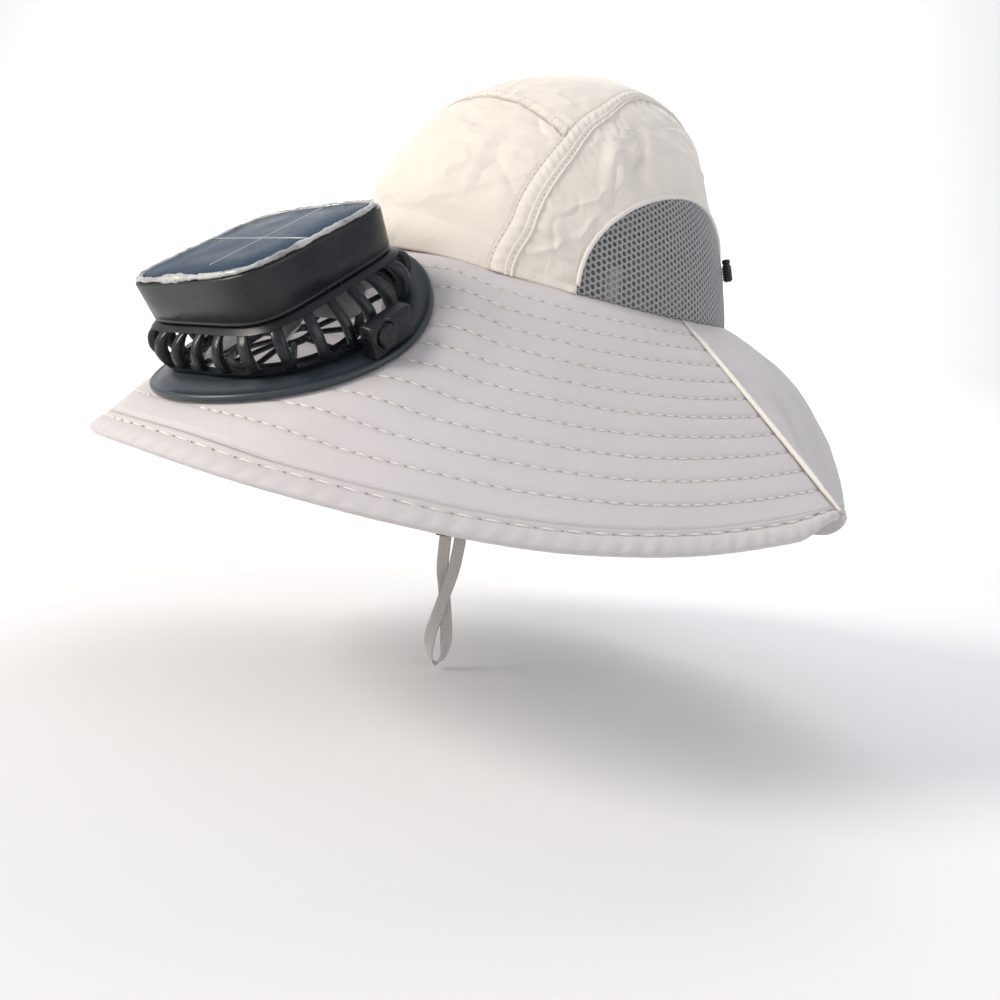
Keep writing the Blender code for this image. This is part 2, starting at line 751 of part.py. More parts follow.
def make_solar_box():
    rounded_slab("solar_box", (BOX_HALF_BOTTOM, BOX_HALF_TOP), BOX_BOTTOM, BOX_HEIGHT, BOX_EDGE, BLACK, BOX_SEGMENTS, 0.0)
    top = BOX_BOTTOM + BOX_HEIGHT + GAP
    rounded_slab("solar_panel", (PANEL_HALF, PANEL_HALF), top, PANEL_THICK, 0.0, CELL, PANEL_SEGMENTS)
    bead = PANEL_HALF + SEALANT_RADIUS + GAP

    def surface(u, v):
        across = 2 * v - 1
        forward, left = ring_place(2 * math.pi * u, bead + SEALANT_RADIUS * across * 0.8, BOX_POWER)
        crest = PANEL_THICK + SEALANT_PROUD * (1 - across * across)
        return fan_point(forward, left, top + crest + top_rise(forward, left))

    sheet("panel_sealant", surface, PANEL_SEGMENTS, 2, PANEL_THICK, SEALANT, offset=1.0)


def make_guard():
    """The plain grille under the brim, a ring with rays that also clamps the flange from below."""
    under = FLANGE_WALL + BRIM_CLOTH + 2 * GAP + 2 * SEAT_SLACK

    def surface(u, v):
        radius = GUARD_EYE + (GUARD_RADIUS - GUARD_EYE) * GUARD_RINGS[int(v * 4 + 0.5)]
        forward = radius * math.cos(2 * math.pi * u)
        left = radius * math.sin(2 * math.pi * u)
        return fan_point(forward, left, flange_top(forward, left) - under)

    def is_hole(column, row):
        return column % 2 == 1 and row in (0, 2)

    return sheet("fan_outlet_guard", surface, 2 * GUARD_RAYS, 4, GUARD_THICK, BLACK, offset=1.0, is_hole=is_hole)


def drum(bm, radius, bottom, height, segments):
    """A cylinder along the fan's axis, from bottom up."""
    place = Matrix.Translation((0, 0, bottom + height / 2))
    made = bmesh.ops.create_cone(
        bm, cap_ends=True, segments=segments, radius1=radius, radius2=radius, depth=height, matrix=place
    )
    return made["verts"]


def make_motor():
    head = BLADE_BOTTOM + HUB_HEIGHT + GAP
    bm = bmesh.new()
    drum(bm, MOTOR_RADIUS, head, BOX_BOTTOM - GAP - head, 20)
    bm.transform(FAN_MATRIX)
    motor = add_part("fan_motor", bm, STEEL)
    bm = bmesh.new()
    drum(bm, SHAFT_RADIUS, head - SHAFT_REACH, SHAFT_REACH + SHAFT_SINK, 12)
    bm.transform(FAN_MATRIX)
    shaft = add_part("motor_shaft_core", bm, STEEL, CUTTERS)
    shaft.hide_render = True
    shaft.display_type = "WIRE"
    join = motor.modifiers.new("shaft", "BOOLEAN")
    join.operation = "UNION"
    join.object = shaft


def make_rotor():
    rotor_matrix = FAN_MATRIX @ Matrix.Translation((0, 0, BLADE_BOTTOM))
    hub = bmesh.new()
    drum(hub, HUB_RADIUS, 0.0, HUB_HEIGHT, 28)
    rotor = add_part("fan_rotor", hub, BLADE)
    rotor.matrix_world = rotor_matrix
    blades = bmesh.new()
    blade_height = BLADE_TOP - BLADE_BOTTOM
    for index in range(ROTOR_BLADES):
        one = bmesh.ops.create_grid(blades, x_segments=3, y_segments=2, size=0.5)["verts"]
        for vert in one:
            span = vert.co.x + 0.5
            root = HUB_RADIUS - BLADE_ROOT_SINK
            across = vert.co.y * (BLADE_CHORDS[0] + (BLADE_CHORDS[1] - BLADE_CHORDS[0]) * span)
            tilt = BLADE_TILTS[0] + (BLADE_TILTS[1] - BLADE_TILTS[0]) * span
            camber = BLADE_CAMBER * (1 - (2 * vert.co.y) ** 2)
            reach = root + (ROTOR_RADIUS - root) * span
            vert.co = Vector((reach, across * math.cos(tilt), across * math.sin(tilt) + camber))
        spin = Matrix.Rotation(2 * math.pi * index / ROTOR_BLADES, 4, "Z")
        lift = Matrix.Translation((0, 0, blade_height / 2))
        bmesh.ops.transform(blades, matrix=spin @ lift, verts=one)
    blade_part = add_part("rotor_blades_core", blades, BLADE, CUTTERS)
    blade_part.matrix_world = rotor_matrix
    thicken(blade_part, BLADE_THICK, 0.0)
    blade_part.hide_render = True
    blade_part.display_type = "WIRE"
    join = rotor.modifiers.new("blades", "BOOLEAN")
    join.operation = "UNION"
    join.object = blade_part
    bore = bmesh.new()
    bottom = HUB_HEIGHT + GAP - SHAFT_REACH - BORE_SLACK
    drum(bore, SHAFT_RADIUS + GAP, bottom, HUB_HEIGHT - bottom + 2 * MM, 12)
    bore_part = add_part("rotor_bore_cutter", bore, BLADE, CUTTERS)
    bore_part.matrix_world = rotor_matrix
    cut(rotor, bore_part)


def switch_frame():
    """A frame on the flange's left side: X forward along the rim, Y outwards, Z up off the flange."""
    step = 1 * MM
    fall = flange_top(SWITCH_FORWARD, SWITCH_LEFT - step) - flange_top(SWITCH_FORWARD, SWITCH_LEFT + step)
    lean = math.atan2(fall, 2 * step)
    outwards = FAN_LEFT * math.cos(lean) - FAN_AXIS * math.sin(lean)
    up = FAN_AXIS * math.cos(lean) + FAN_LEFT * math.sin(lean)
    frame = Matrix((FAN_FORWARD, outwards, up)).transposed().to_4x4()
    seat = flange_top(SWITCH_FORWARD, SWITCH_LEFT) + GAP + SEAT_SLACK
    frame.translation = fan_point(SWITCH_FORWARD, SWITCH_LEFT, seat)
    return frame


def make_switch():
    frame = switch_frame()
    bm = bmesh.new()
    bmesh.ops.create_cube(bm, size=1.0)
    for vert in bm.verts:
        vert.co = Vector((vert.co.x * SWITCH_LENGTH, vert.co.y * SWITCH_DEPTH, (vert.co.z + 0.5) * SWITCH_HEIGHT))
    edges = [edge for edge in bm.edges if (edge.verts[0].co.z + edge.verts[1].co.z) > SWITCH_HEIGHT]
    bmesh.ops.bevel(bm, geom=edges, offset=SWITCH_EDGE, segments=2, profile=0.5, affect="EDGES")
    bm.transform(frame)
    housing = add_part("switch_housing", bm, BLACK)
    lay = Matrix.Rotation(-math.pi / 2, 4, "X")
    spot = Matrix.Translation((BUTTON_FORWARD, SWITCH_DEPTH / 2, SWITCH_HEIGHT * BUTTON_HEIGHT_SHARE))
    well = bmesh.new()
    drum(well, BUTTON_RADIUS + GAP, -BUTTON_SEAT - BUTTON_TRAVEL, BUTTON_SEAT + BUTTON_TRAVEL + 2 * MM, 20)
    well.transform(frame @ spot @ lay)
    cut(housing, add_part("button_well_cutter", well, BLACK, CUTTERS))
    button = bmesh.new()
    drum(button, BUTTON_RADIUS, -BUTTON_SEAT + GAP, BUTTON_SEAT - GAP + BUTTON_PROUD, 20)
    button.transform(frame @ spot @ lay)
    add_part("switch_button", button, BLACK)


def make_toggle():
    foot = crown_point(TOGGLE_ANGLE, TOGGLE_HEIGHT_SHARE, TOGGLE_RADIUS + GAP + 0.2 * MM)
    above = crown_point(TOGGLE_ANGLE, TOGGLE_HEIGHT_SHARE + 0.05, TOGGLE_RADIUS + GAP + 0.2 * MM)
    up = (above - foot).normalized()
    points = [foot + up * TOGGLE_LENGTH * (step / 4 - 0.5) for step in range(5)]
    part = tube("size_toggle", points, TOGGLE_RADIUS, BLACK, 3)
    for spot, share in zip(part.data.splines[0].points, (0.7, 1.0, 0.85, 1.0, 0.7)):
        spot.radius = share


# Chin strap


def strap_points():
    """The strap's route with the turn of its flat side, as rows of place and angle."""
    rows = [(Vector((x, y, z)) * MM, turn) for x, y, z, turn in STRAP_FROM_LEFT]
    for sideways, forward, height, turn in STRAP_LOOP:
        place = STRAP_CENTRE + (STRAP_SIDE * sideways + STRAP_FACE * forward + Vector((0, 0, height))) * MM
        rows.append((place, turn))
    for x, y, z, turn in reversed(STRAP_FROM_LEFT):
        rows.append((Vector((-x, y, z)) * MM, 180 - turn))
    return rows


def smooth_route(rows, count):
    """Evenly shared points on a smooth curve through the rows."""
    fine = []
    for index in range(len(rows) - 1):
        before = rows[max(index - 1, 0)]
        start = rows[index]
        end = rows[index + 1]
        after = rows[min(index + 2, len(rows) - 1)]
        for step in range(12):
            t = step / 12
            place = 0.5 * (
                2 * start[0]
                + (end[0] - before[0]) * t
                + (2 * before[0] - 5 * start[0] + 4 * end[0] - after[0]) * t * t
                + (3 * start[0] - before[0] - 3 * end[0] + after[0]) * t**3
            )
            fine.append((place, start[1] + (end[1] - start[1]) * smooth_step(t)))
    fine.append(rows[-1])
    lengths = [0.0]
    for first, second in zip(fine, fine[1:]):
        lengths.append(lengths[-1] + (second[0] - first[0]).length)
    route = []
    index = 0
    for step in range(count + 1):
        want = lengths[-1] * step / count
        while index < len(lengths) - 2 and lengths[index + 1] < want:
            index += 1
        t = (want - lengths[index]) / max(lengths[index + 1] - lengths[index], 1e-9)
        first, second = fine[index], fine[index + 1]
        route.append((first[0].lerp(second[0], t), first[1] + (second[1] - first[1]) * t))
    return route


def make_strap():
    route = smooth_route(strap_points(), STRAP_SEGMENTS)
    bm = bmesh.new()
    bmesh.ops.create_grid(bm, x_segments=1, y_segments=STRAP_SEGMENTS, size=0.5)
    for vert in bm.verts:
        index = min(int((vert.co.y + 0.5) * STRAP_SEGMENTS + 0.5), STRAP_SEGMENTS)
        place, turn = route[index]
        along = (route[min(index + 1, STRAP_SEGMENTS)][0] - route[max(index - 1, 0)][0]).normalized()
        flat = Vector((math.sin(turn * DEG), math.cos(turn * DEG), 0.0))
        flat = (flat - along * flat.dot(along)).normalized()
        vert.co = place + flat * STRAP_WIDTH * vert.co.x
    strap = add_part("chin_strap", bm, MESH)
    thicken(strap, STRAP_CLOTH, 0.0)


def make_slider():
    half_width = STRAP_LOOP[0][0] * MM + STRAP_WIDTH / 2 + SLIDER_SLACK
    half_depth = STRAP_CLOTH / 2 + SLIDER_SLACK
    frame = Matrix((STRAP_SIDE, -STRAP_FACE, Vector((0, 0, 1)))).transposed().to_4x4()
    frame.translation = STRAP_CENTRE + Vector((0, 0, SLIDER_DROP))
    bm = bmesh.new()
    bmesh.ops.create_cube(bm, size=2.0)
    for vert in bm.verts:
        vert.co.x *= half_width + SLIDER_WALL
        vert.co.y *= half_depth + SLIDER_WALL
        vert.co.z *= SLIDER_HEIGHT / 2
    bmesh.ops.bevel(bm, geom=bm.edges[:], offset=0.6 * MM, segments=1, profile=0.5, affect="EDGES")
    bm.transform(frame)
    slider = add_part("strap_slider", bm, BLACK)
    slot = bmesh.new()
    bmesh.ops.create_cube(slot, size=2.0)
    for vert in slot.verts:
        vert.co.x *= half_width
        vert.co.y *= half_depth
        vert.co.z *= SLIDER_HEIGHT
    slot.transform(frame)
    cut(slider, add_part("slider_slot_cutter", slot, BLACK, CUTTERS))


def main():
    make_crown_middle()
    for name, side in (("left", 1), ("right", -1)):
        make_side_panel("crown_side_panel_" + name, side)
        make_seam_band("crown_seam_band_" + name, side)
        make_mesh_insert("mesh_insert_" + name, side)
        make_mesh_piping("mesh_piping_" + name, side)
        make_side_piping("brim_side_piping_" + name, side)
    make_brim_front()
    make_brim_rear()
    make_flange()
    make_cage()
    make_solar_box()
    make_guard()
    make_motor()
    make_rotor()
    make_switch()
    make_toggle()
    make_strap()
    make_slider()


main()
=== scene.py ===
import functools
import math

import bmesh
import bpy
from mathutils import Matrix, Vector, noise


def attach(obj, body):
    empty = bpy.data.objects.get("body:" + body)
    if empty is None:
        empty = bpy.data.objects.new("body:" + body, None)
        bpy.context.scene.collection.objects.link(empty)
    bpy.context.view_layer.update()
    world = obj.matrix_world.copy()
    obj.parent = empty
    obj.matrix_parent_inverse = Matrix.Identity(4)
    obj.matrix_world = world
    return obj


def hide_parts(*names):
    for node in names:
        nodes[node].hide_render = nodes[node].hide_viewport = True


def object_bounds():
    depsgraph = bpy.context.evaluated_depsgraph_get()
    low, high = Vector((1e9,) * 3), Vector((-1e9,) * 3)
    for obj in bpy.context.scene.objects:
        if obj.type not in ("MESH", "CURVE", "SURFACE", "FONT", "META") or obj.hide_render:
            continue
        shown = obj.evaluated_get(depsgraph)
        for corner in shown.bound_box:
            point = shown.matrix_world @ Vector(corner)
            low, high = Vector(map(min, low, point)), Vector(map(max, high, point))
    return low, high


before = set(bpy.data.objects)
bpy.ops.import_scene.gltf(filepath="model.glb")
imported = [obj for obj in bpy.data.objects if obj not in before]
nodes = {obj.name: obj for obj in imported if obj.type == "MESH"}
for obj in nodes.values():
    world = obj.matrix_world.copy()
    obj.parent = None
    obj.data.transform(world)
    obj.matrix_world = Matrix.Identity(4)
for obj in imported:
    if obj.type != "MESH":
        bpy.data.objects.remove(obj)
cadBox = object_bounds()
mm = 0.001
deg = math.pi / 180

# the camera comes first, at the photograph's viewing angle
view = {
    "place": (0.31297, -0.37433, -0.06080),
    "right": (0.73818, 0.65951, 0.14190),
    "up": (-0.16443, -0.02809, 0.98599),
    "back": (0.65425, -0.75117, 0.08771),
    "lens": 33.34,
}


def makeCamera():
    lens = bpy.data.cameras.new("hatCamera")
    lens.sensor_width = 36
    lens.lens = view["lens"]
    lens.clip_start = 0.01
    camera = bpy.data.objects.new("hatCamera", lens)
    bpy.context.scene.collection.objects.link(camera)
    turn = Matrix((view["right"], view["up"], view["back"])).transposed()
    camera.matrix_world = Matrix.LocRotScale(Vector(view["place"]), turn.to_quaternion(), (1, 1, 1))
    bpy.context.scene.camera = camera
    bpy.context.scene.view_settings.view_transform = "Standard"


makeCamera()
print("camera placed")


# shader groups, each built once and given its own values in every material
def newGroup(name, inputs, outputs):
    group = bpy.data.node_groups.new(name, "ShaderNodeTree")
    for socket, value in inputs.items():
        kind = "NodeSocketVector" if value is None else "NodeSocketFloat"
        made = group.interface.new_socket(name=socket, in_out="INPUT", socket_type=kind)
        if value is not None:
            made.default_value = value
    for socket in outputs:
        group.interface.new_socket(name=socket, in_out="OUTPUT", socket_type="NodeSocketFloat")
    return group, group.nodes.new("NodeGroupInput").outputs, group.nodes.new("NodeGroupOutput").inputs


def addNode(tree, kind, links=None, **values):
    made = tree.nodes.new("ShaderNode" + kind)
    for key, value in values.items():
        setattr(made, key, value)
    for target, source in (links or {}).items():
        if isinstance(source, bpy.types.NodeSocket):
            tree.links.new(source, made.inputs[target])
        else:
            made.inputs[target].default_value = source
    return made


def sums(tree, operation, *values):
    return addNode(tree, "Math", dict(enumerate(values)), operation=operation).outputs[0]


def makeWeaveGroup():
    group, enter, leave = newGroup("plainWeave", {"Vector": None, "Threads": 2600.0, "Slub": 0.3}, ("Height", "Tone"))
    split = addNode(group, "SeparateXYZ", {0: enter["Vector"]})
    runs = []
    for axis in (0, 1):
        turns = sums(group, "MULTIPLY", split.outputs[axis], enter["Threads"])
        runs.append(sums(group, "SINE", sums(group, "MULTIPLY", turns, math.pi)))
    over = sums(group, "MULTIPLY", sums(group, "MULTIPLY", runs[0], runs[1]), 0.4)
    ribs = sums(group, "MULTIPLY", sums(group, "ADD", sums(group, "ABSOLUTE", runs[0]), sums(group, "ABSOLUTE", runs[1])), 0.3)
    patch = addNode(group, "TexNoise", {"Vector": enter["Vector"], "Scale": 240.0, "Detail": 4.0})
    slub = sums(group, "MULTIPLY", sums(group, "SUBTRACT", patch.outputs[0], 0.5), enter["Slub"])
    group.links.new(sums(group, "ADD", sums(group, "ADD", over, ribs), slub), leave["Height"])
    group.links.new(slub, leave["Tone"])
    return group


def makeMottleGroup():
    # slow changes of tone, from 0 to 1
    group, enter, leave = newGroup("softMottle", {"Vector": None, "Scale": 30.0, "Bite": 1.6}, ("Mask",))
    patch = addNode(group, "TexNoise", {"Vector": enter["Vector"], "Scale": enter["Scale"], "Detail": 5.0, "Roughness": 0.6})
    push = sums(group, "MULTIPLY", sums(group, "SUBTRACT", patch.outputs[0], 0.5), enter["Bite"])
    mask = addNode(group, "Clamp", {0: sums(group, "ADD", push, 0.5)})
    group.links.new(mask.outputs[0], leave["Mask"])
    return group


def makeGrainGroup():
    # moulded grain with fine scratches
    group, enter, leave = newGroup("mouldedGrain", {"Vector": None, "Grain": 1400.0, "Scratch": 0.5}, ("Height", "Mask"))
    pits = addNode(group, "TexVoronoi", {"Vector": enter["Vector"], "Scale": enter["Grain"]})
    lay = addNode(group, "Mapping", {"Vector": enter["Vector"], "Rotation": (0.4, 0.9, 0.3), "Scale": (30.0, 900.0, 900.0)})
    lines = addNode(group, "TexNoise", {"Vector": lay.outputs[0], "Scale": 1.0, "Detail": 2.0})
    scratch = addNode(group, "MapRange", {0: lines.outputs[0], 1: 0.66, 2: 0.74})
    cut = sums(group, "MULTIPLY", scratch.outputs[0], enter["Scratch"])
    group.links.new(sums(group, "SUBTRACT", pits.outputs[0], cut), leave["Height"])
    group.links.new(cut, leave["Mask"])
    return group


weaveGroup = makeWeaveGroup()
mottleGroup = makeMottleGroup()
grainGroup = makeGrainGroup()


def placeGroup(tree, group, links):
    made = tree.nodes.new("ShaderNodeGroup")
    made.node_tree = group
    for target, source in links.items():
        if isinstance(source, bpy.types.NodeSocket):
            tree.links.new(source, made.inputs[target])
        else:
            made.inputs[target].default_value = source
    return made.outputs


def blendColour(tree, share, first, second):
    links = {0: share}
    for slot, colour in ((6, first), (7, second)):
        links[slot] = (*colour, 1.0) if isinstance(colour, tuple) else colour
    return addNode(tree, "Mix", links, data_type="RGBA").outputs[2]


def scaled(colour, amount):
    return tuple(min(part * amount, 1.0) for part in colour)


def newMaterial(name, **sockets):
    material = bpy.data.materials.new(name)
    material.use_nodes = True
    shader = material.node_tree.nodes["Principled BSDF"]
    for key, value in sockets.items():
        shader.inputs[key.replace("_", " ")].default_value = value
    return material, material.node_tree, shader.inputs


def bumpInto(tree, inputs, height, distance, strength=1.0, target="Normal"):
    made = addNode(tree, "Bump", {"Height": height, "Distance": distance, "Strength": strength})
    tree.links.new(made.outputs[0], inputs[target])


# groove is the colour of the painted shade that the groove attribute lays into seams, stitch furrows and fold troughs
def makeCloth(name, colour, groove, threads, weaveDepth, rough, sheen, mottle=0.07):
    material, tree, inputs = newMaterial(name, Sheen_Weight=sheen, Sheen_Roughness=0.45)
    uv = addNode(tree, "UVMap", uv_map="UVMap").outputs[0]
    place = addNode(tree, "TexCoord").outputs["Object"]
    weave = placeGroup(tree, weaveGroup, {"Vector": uv, "Threads": threads})
    slow = placeGroup(tree, mottleGroup, {"Vector": place, "Scale": 22.0, "Bite": 2.0})
    fine = placeGroup(tree, mottleGroup, {"Vector": place, "Scale": 420.0, "Bite": 1.5})
    tone = blendColour(tree, slow["Mask"], colour, scaled(colour, 1 - mottle))
    tone = blendColour(tree, sums(tree, "MULTIPLY", fine["Mask"], 0.35), tone, scaled(colour, 0.93))
    # painted shade: the cloth darkens towards the groove colour where the groove attribute is high
    seam = addNode(tree, "Attribute", attribute_name="groove").outputs["Fac"]
    tone = blendColour(tree, sums(tree, "MULTIPLY", seam, 0.75), tone, groove)
    tree.links.new(tone, inputs["Base Color"])
    spread = addNode(tree, "MapRange", {0: fine["Mask"], 3: rough - 0.06, 4: rough + 0.06})
    tree.links.new(spread.outputs[0], inputs["Roughness"])
    crumple = addNode(tree, "TexNoise", {"Vector": place, "Scale": 150.0, "Detail": 5.0, "Roughness": 0.62})
    height = sums(tree, "ADD", sums(tree, "MULTIPLY", weave["Height"], 1.0), sums(tree, "MULTIPLY", crumple.outputs[0], 3.0))
    bumpInto(tree, inputs, height, weaveDepth)
    return material


def makePlastic(name, colour, rough, grain, dust):
    material, tree, inputs = newMaterial(name, IOR=1.5, Specular_IOR_Level=0.38)
    place = addNode(tree, "TexCoord").outputs["Object"]
    pits = placeGroup(tree, grainGroup, {"Vector": place, "Grain": grain, "Scratch": 0.2})
    film = placeGroup(tree, mottleGroup, {"Vector": place, "Scale": 60.0, "Bite": 2.2})
    tone = blendColour(tree, sums(tree, "MULTIPLY", film["Mask"], dust), colour, (0.22, 0.22, 0.215))
    tone = blendColour(tree, sums(tree, "MULTIPLY", pits["Mask"], 0.4), tone, (0.16, 0.16, 0.16))
    tree.links.new(tone, inputs["Base Color"])
    spread = addNode(tree, "MapRange", {0: film["Mask"], 3: rough - 0.07, 4: rough + 0.1})
    tree.links.new(spread.outputs[0], inputs["Roughness"])
    bumpInto(tree, inputs, pits["Height"], 0.00003)
    return material


# each cloth's second colour is its painted shade for seams, stitch furrows and fold troughs
crownCloth = makeCloth("crownCloth", (0.87, 0.80, 0.72), (0.50, 0.45, 0.39), 2600.0, 0.00012, 0.62, 0.25)
# the crown's inner face is dark grey: painted shade for the shadowed inside of the crown, seen through the nets
crownInsideShade = makeCloth("crownInsideShade", (0.26, 0.245, 0.235), (0.12, 0.11, 0.10), 2600.0, 0.00012, 0.7, 0.2)
# the brim cloth's darker, lilac-grey tone is partly its own colour and partly painted shade, the cool shade over most
# of the brim
brimCloth = makeCloth("brimCloth", (0.635, 0.595, 0.60), (0.38, 0.35, 0.34), 2400.0, 0.0001, 0.68, 0.2, 0.05)
pipingCloth = makeCloth("pipingCloth", (0.82, 0.78, 0.73), (0.45, 0.41, 0.36), 2600.0, 0.0001, 0.6, 0.2)
webbing = makeCloth("webbing", (0.60, 0.565, 0.54), (0.28, 0.25, 0.23), 1700.0, 0.00018, 0.7, 0.3)
netYarn = makeCloth("netYarn", (0.33, 0.335, 0.34), (0.10, 0.10, 0.10), 3600.0, 0.00008, 0.6, 0.2)
sewingThread = makeCloth("sewingThread", (0.86, 0.82, 0.76), (0.4, 0.35, 0.3), 5200.0, 0.00005, 0.55, 0.2)
blackPlastic = makePlastic("blackPlastic", (0.007, 0.009, 0.012), 0.28, 1500.0, 0.05)
# the flange's lighter, bluish grey is a painted sky reflection on its black plastic
flangeSkyTintPlastic = makePlastic("flangeSkyTintPlastic", (0.031, 0.041, 0.052), 0.32, 1500.0, 0.06)
bladePlastic = makePlastic("bladePlastic", (0.52, 0.53, 0.53), 0.42, 1200.0, 0.10)


def makeNeedleHoleShade():
    # painted shade: the pit's dark brown tones stand for the shadow inside the needle hole
    material, tree, inputs = newMaterial("needleHoleShade", Roughness=0.9)
    place = addNode(tree, "TexCoord").outputs["Object"]
    slow = placeGroup(tree, mottleGroup, {"Vector": place, "Scale": 300.0})
    tree.links.new(blendColour(tree, slow["Mask"], (0.36, 0.32, 0.29), (0.26, 0.23, 0.21)), inputs["Base Color"])
    return material


needleHoleShade = makeNeedleHoleShade()
print("cloth and plastic materials made")


# finishing of every piece
def finishPiece(name, bm, material, stands=(), body="hat", sharp=None):
    mesh = bpy.data.meshes.new(name)
    bm.to_mesh(mesh)
    bm.free()
    mesh.polygons.foreach_set("use_smooth", [True] * len(mesh.polygons))
    if sharp:
        mesh.set_sharp_from_angle(angle=sharp * deg)
    for one in material if isinstance(material, tuple) else (material,):
        mesh.materials.append(one)
    piece = bpy.data.objects.new(name, mesh)
    bpy.context.scene.collection.objects.link(piece)
    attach(piece, body)
    if stands:
        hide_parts(*stands)
    return piece


def wall(piece, thickness, inner=None):
    # gives a skin its thickness, inwards; the inner face may have a material of its own
    made = piece.modifiers.new("wall", "SOLIDIFY")
    made.thickness = thickness
    made.offset = -1.0
    if inner:
        piece.data.materials.append(inner)
        made.material_offset = 1
    return piece


def faceFrom(bm, inside):
    # turns the whole skin so that it looks away from the point inside
    lean = sum(face.normal.dot(face.calc_center_median() - inside) for face in bm.faces)
    if lean < 0:
        bmesh.ops.reverse_faces(bm, faces=bm.faces[:])


def loft(place, across, along, size, rows=None, closed=False, inside=None):
    # a grid of cells laid on place(u, v), with its UV map in metres; place may also give how deep in a seam a point
    # lies, kept as the groove attribute that paints shade into the cloth
    bm = bmesh.new()
    bm.loops.layers.uv.new("UVMap")
    groove = bm.verts.layers.float.new("groove")
    bmesh.ops.create_grid(bm, x_segments=across, y_segments=along, size=0.5)
    uv = bm.loops.layers.uv["UVMap"]
    for face in bm.faces:
        for loop in face.loops:
            loop[uv].uv = ((loop.vert.co.x + 0.5) * size[0], (loop.vert.co.y + 0.5) * size[1])
    for vert in bm.verts:
        share = vert.co.y + 0.5
        if rows:
            share = rows[min(int(share * along + 0.5), along)]
        found = place(vert.co.x + 0.5, share)
        if isinstance(found, tuple):
            vert.co, vert[groove] = found
        else:
            vert.co = found
    if closed:
        bmesh.ops.remove_doubles(bm, verts=bm.verts[:], dist=0.005 * mm)
    bm.normal_update()
    if inside is not None:
        faceFrom(bm, Vector(inside))
    return bm


def closeEnds(bm):
    rim = [edge for edge in bm.edges if edge.is_boundary]
    bmesh.ops.holes_fill(bm, edges=rim, sides=0)
    bmesh.ops.recalc_face_normals(bm, faces=bm.faces[:])
    return bm


def roundTube(place, around, along, size, ends=True):
    # place(turn, v) gives a point of the skin; the ends are closed
    bm = loft(lambda u, v: place(2 * math.pi * u, v), around, along, size, closed=True)
    return closeEnds(bm) if ends else bm


def easeStep(value):
    value = min(max(value, 0.0), 1.0)
    return value * value * (3 - 2 * value)


def readTrack(rows, share):
    for (low, first), (high, second) in zip(rows, rows[1:]):
        if share <= high:
            return first + (second - first) * easeStep((share - low) / (high - low))
    return rows[-1][1]


def hump(distance):
    return (1 - distance * distance) ** 2 if abs(distance) < 1 else 0.0


def turnBetween(angle, middle):
    return (angle - middle + math.pi) % (2 * math.pi) - math.pi


# the crown and brim surfaces, as in the CAD source
head = {"length": 103.1 * mm, "width": 86.9 * mm, "wave": 4.4 * mm, "waves": ((1, 0.2, -0.25), (2, 1.0, -0.95))}
crown = {
    "height": 118 * mm,
    "cloth": 1.4 * mm,
    "taper": 1.6,
    "round": 2.2,
    "lean": 20 * mm,
    "leanBack": 2.3,
    "bulge": 0.6 * mm,
    "pouf": 4.0 * mm,
    "poufHeight": 7 * mm,
    "poufHalf": 30 * deg,
    "dent": 1.6 * mm,
    "dents": (
        (8, 0.30, 9, 1.0),
        (-14, 0.42, 8, 0.8),
        (24, 0.36, 6, -0.7),
        (60, 0.50, 5, 1.0),
        (69, 0.56, 5, -0.8),
        (-62, 0.52, 6, 0.9),
        (-100, 0.60, 8, -0.7),
        (112, 0.62, 6, 0.7),
        (132, 0.55, 40, -1.7),
        (165, 0.35, 9, 1.0),
        (-160, 0.3, 8, -0.8),
    ),
    # finer folds: from angle and rise, to angle and rise, half width and depth in mm
    "folds": (
        (60.8, 0.385, 60.2, 0.49, 2.2, -1.3),
        (63.6, 0.40, 62.8, 0.52, 3.0, 0.9),
        (67.0, 0.495, 72.2, 0.60, 2.0, -1.4),
        (64.8, 0.52, 69.0, 0.62, 3.0, 1.0),
        (76.0, 0.60, 92.0, 0.63, 3.2, -0.7),
        (31.0, 0.60, 36.0, 0.53, 1.8, -0.9),
        (26.0, 0.39, 34.5, 0.27, 2.6, -1.0),
        (22.0, 0.34, 33.0, 0.31, 2.4, 0.8),
        (-20.0, 0.175, 28.0, 0.115, 5.0, -1.2),
        (-34.0, 0.30, -4.0, 0.20, 4.0, 0.8),
        (-8.0, 0.58, 16.0, 0.50, 4.5, 0.7),
        (4.0, 0.44, 24.0, 0.44, 3.0, -0.6),
        (-30.0, 0.50, -16.0, 0.40, 3.0, -0.7),
        (-62.0, 0.40, -58.0, 0.52, 2.4, -1.2),
        (-70.0, 0.52, -74.0, 0.61, 2.4, 1.0),
        (150.0, 0.25, 172.0, 0.34, 4.0, -1.0),
        (190.0, 0.42, 205.0, 0.30, 4.0, 0.9),
        (120.0, 0.56, 132.0, 0.44, 3.0, -0.9),
    ),
}
seams = {
    "out": 50 * mm,
    "track": ((0.0, 0.91), (0.08, 1.0), (0.2, 1.02), (0.3, 0.97), (0.45, 0.82), (0.6, 0.8), (0.8, 0.82), (1.0, 0.8)),
    "width": 9 * mm,
    "topWidth": 6 * mm,
    "proud": 0.6 * mm,
    "cloth": 2.0 * mm,
    "topHeight": 80 * mm,
    "topSlant": 0.05,
    "backHeight": 62 * mm,
}
window = {"middle": 97 * deg, "half": 45 * deg, "height": 54.5 * mm, "piping": 1.5 * mm}
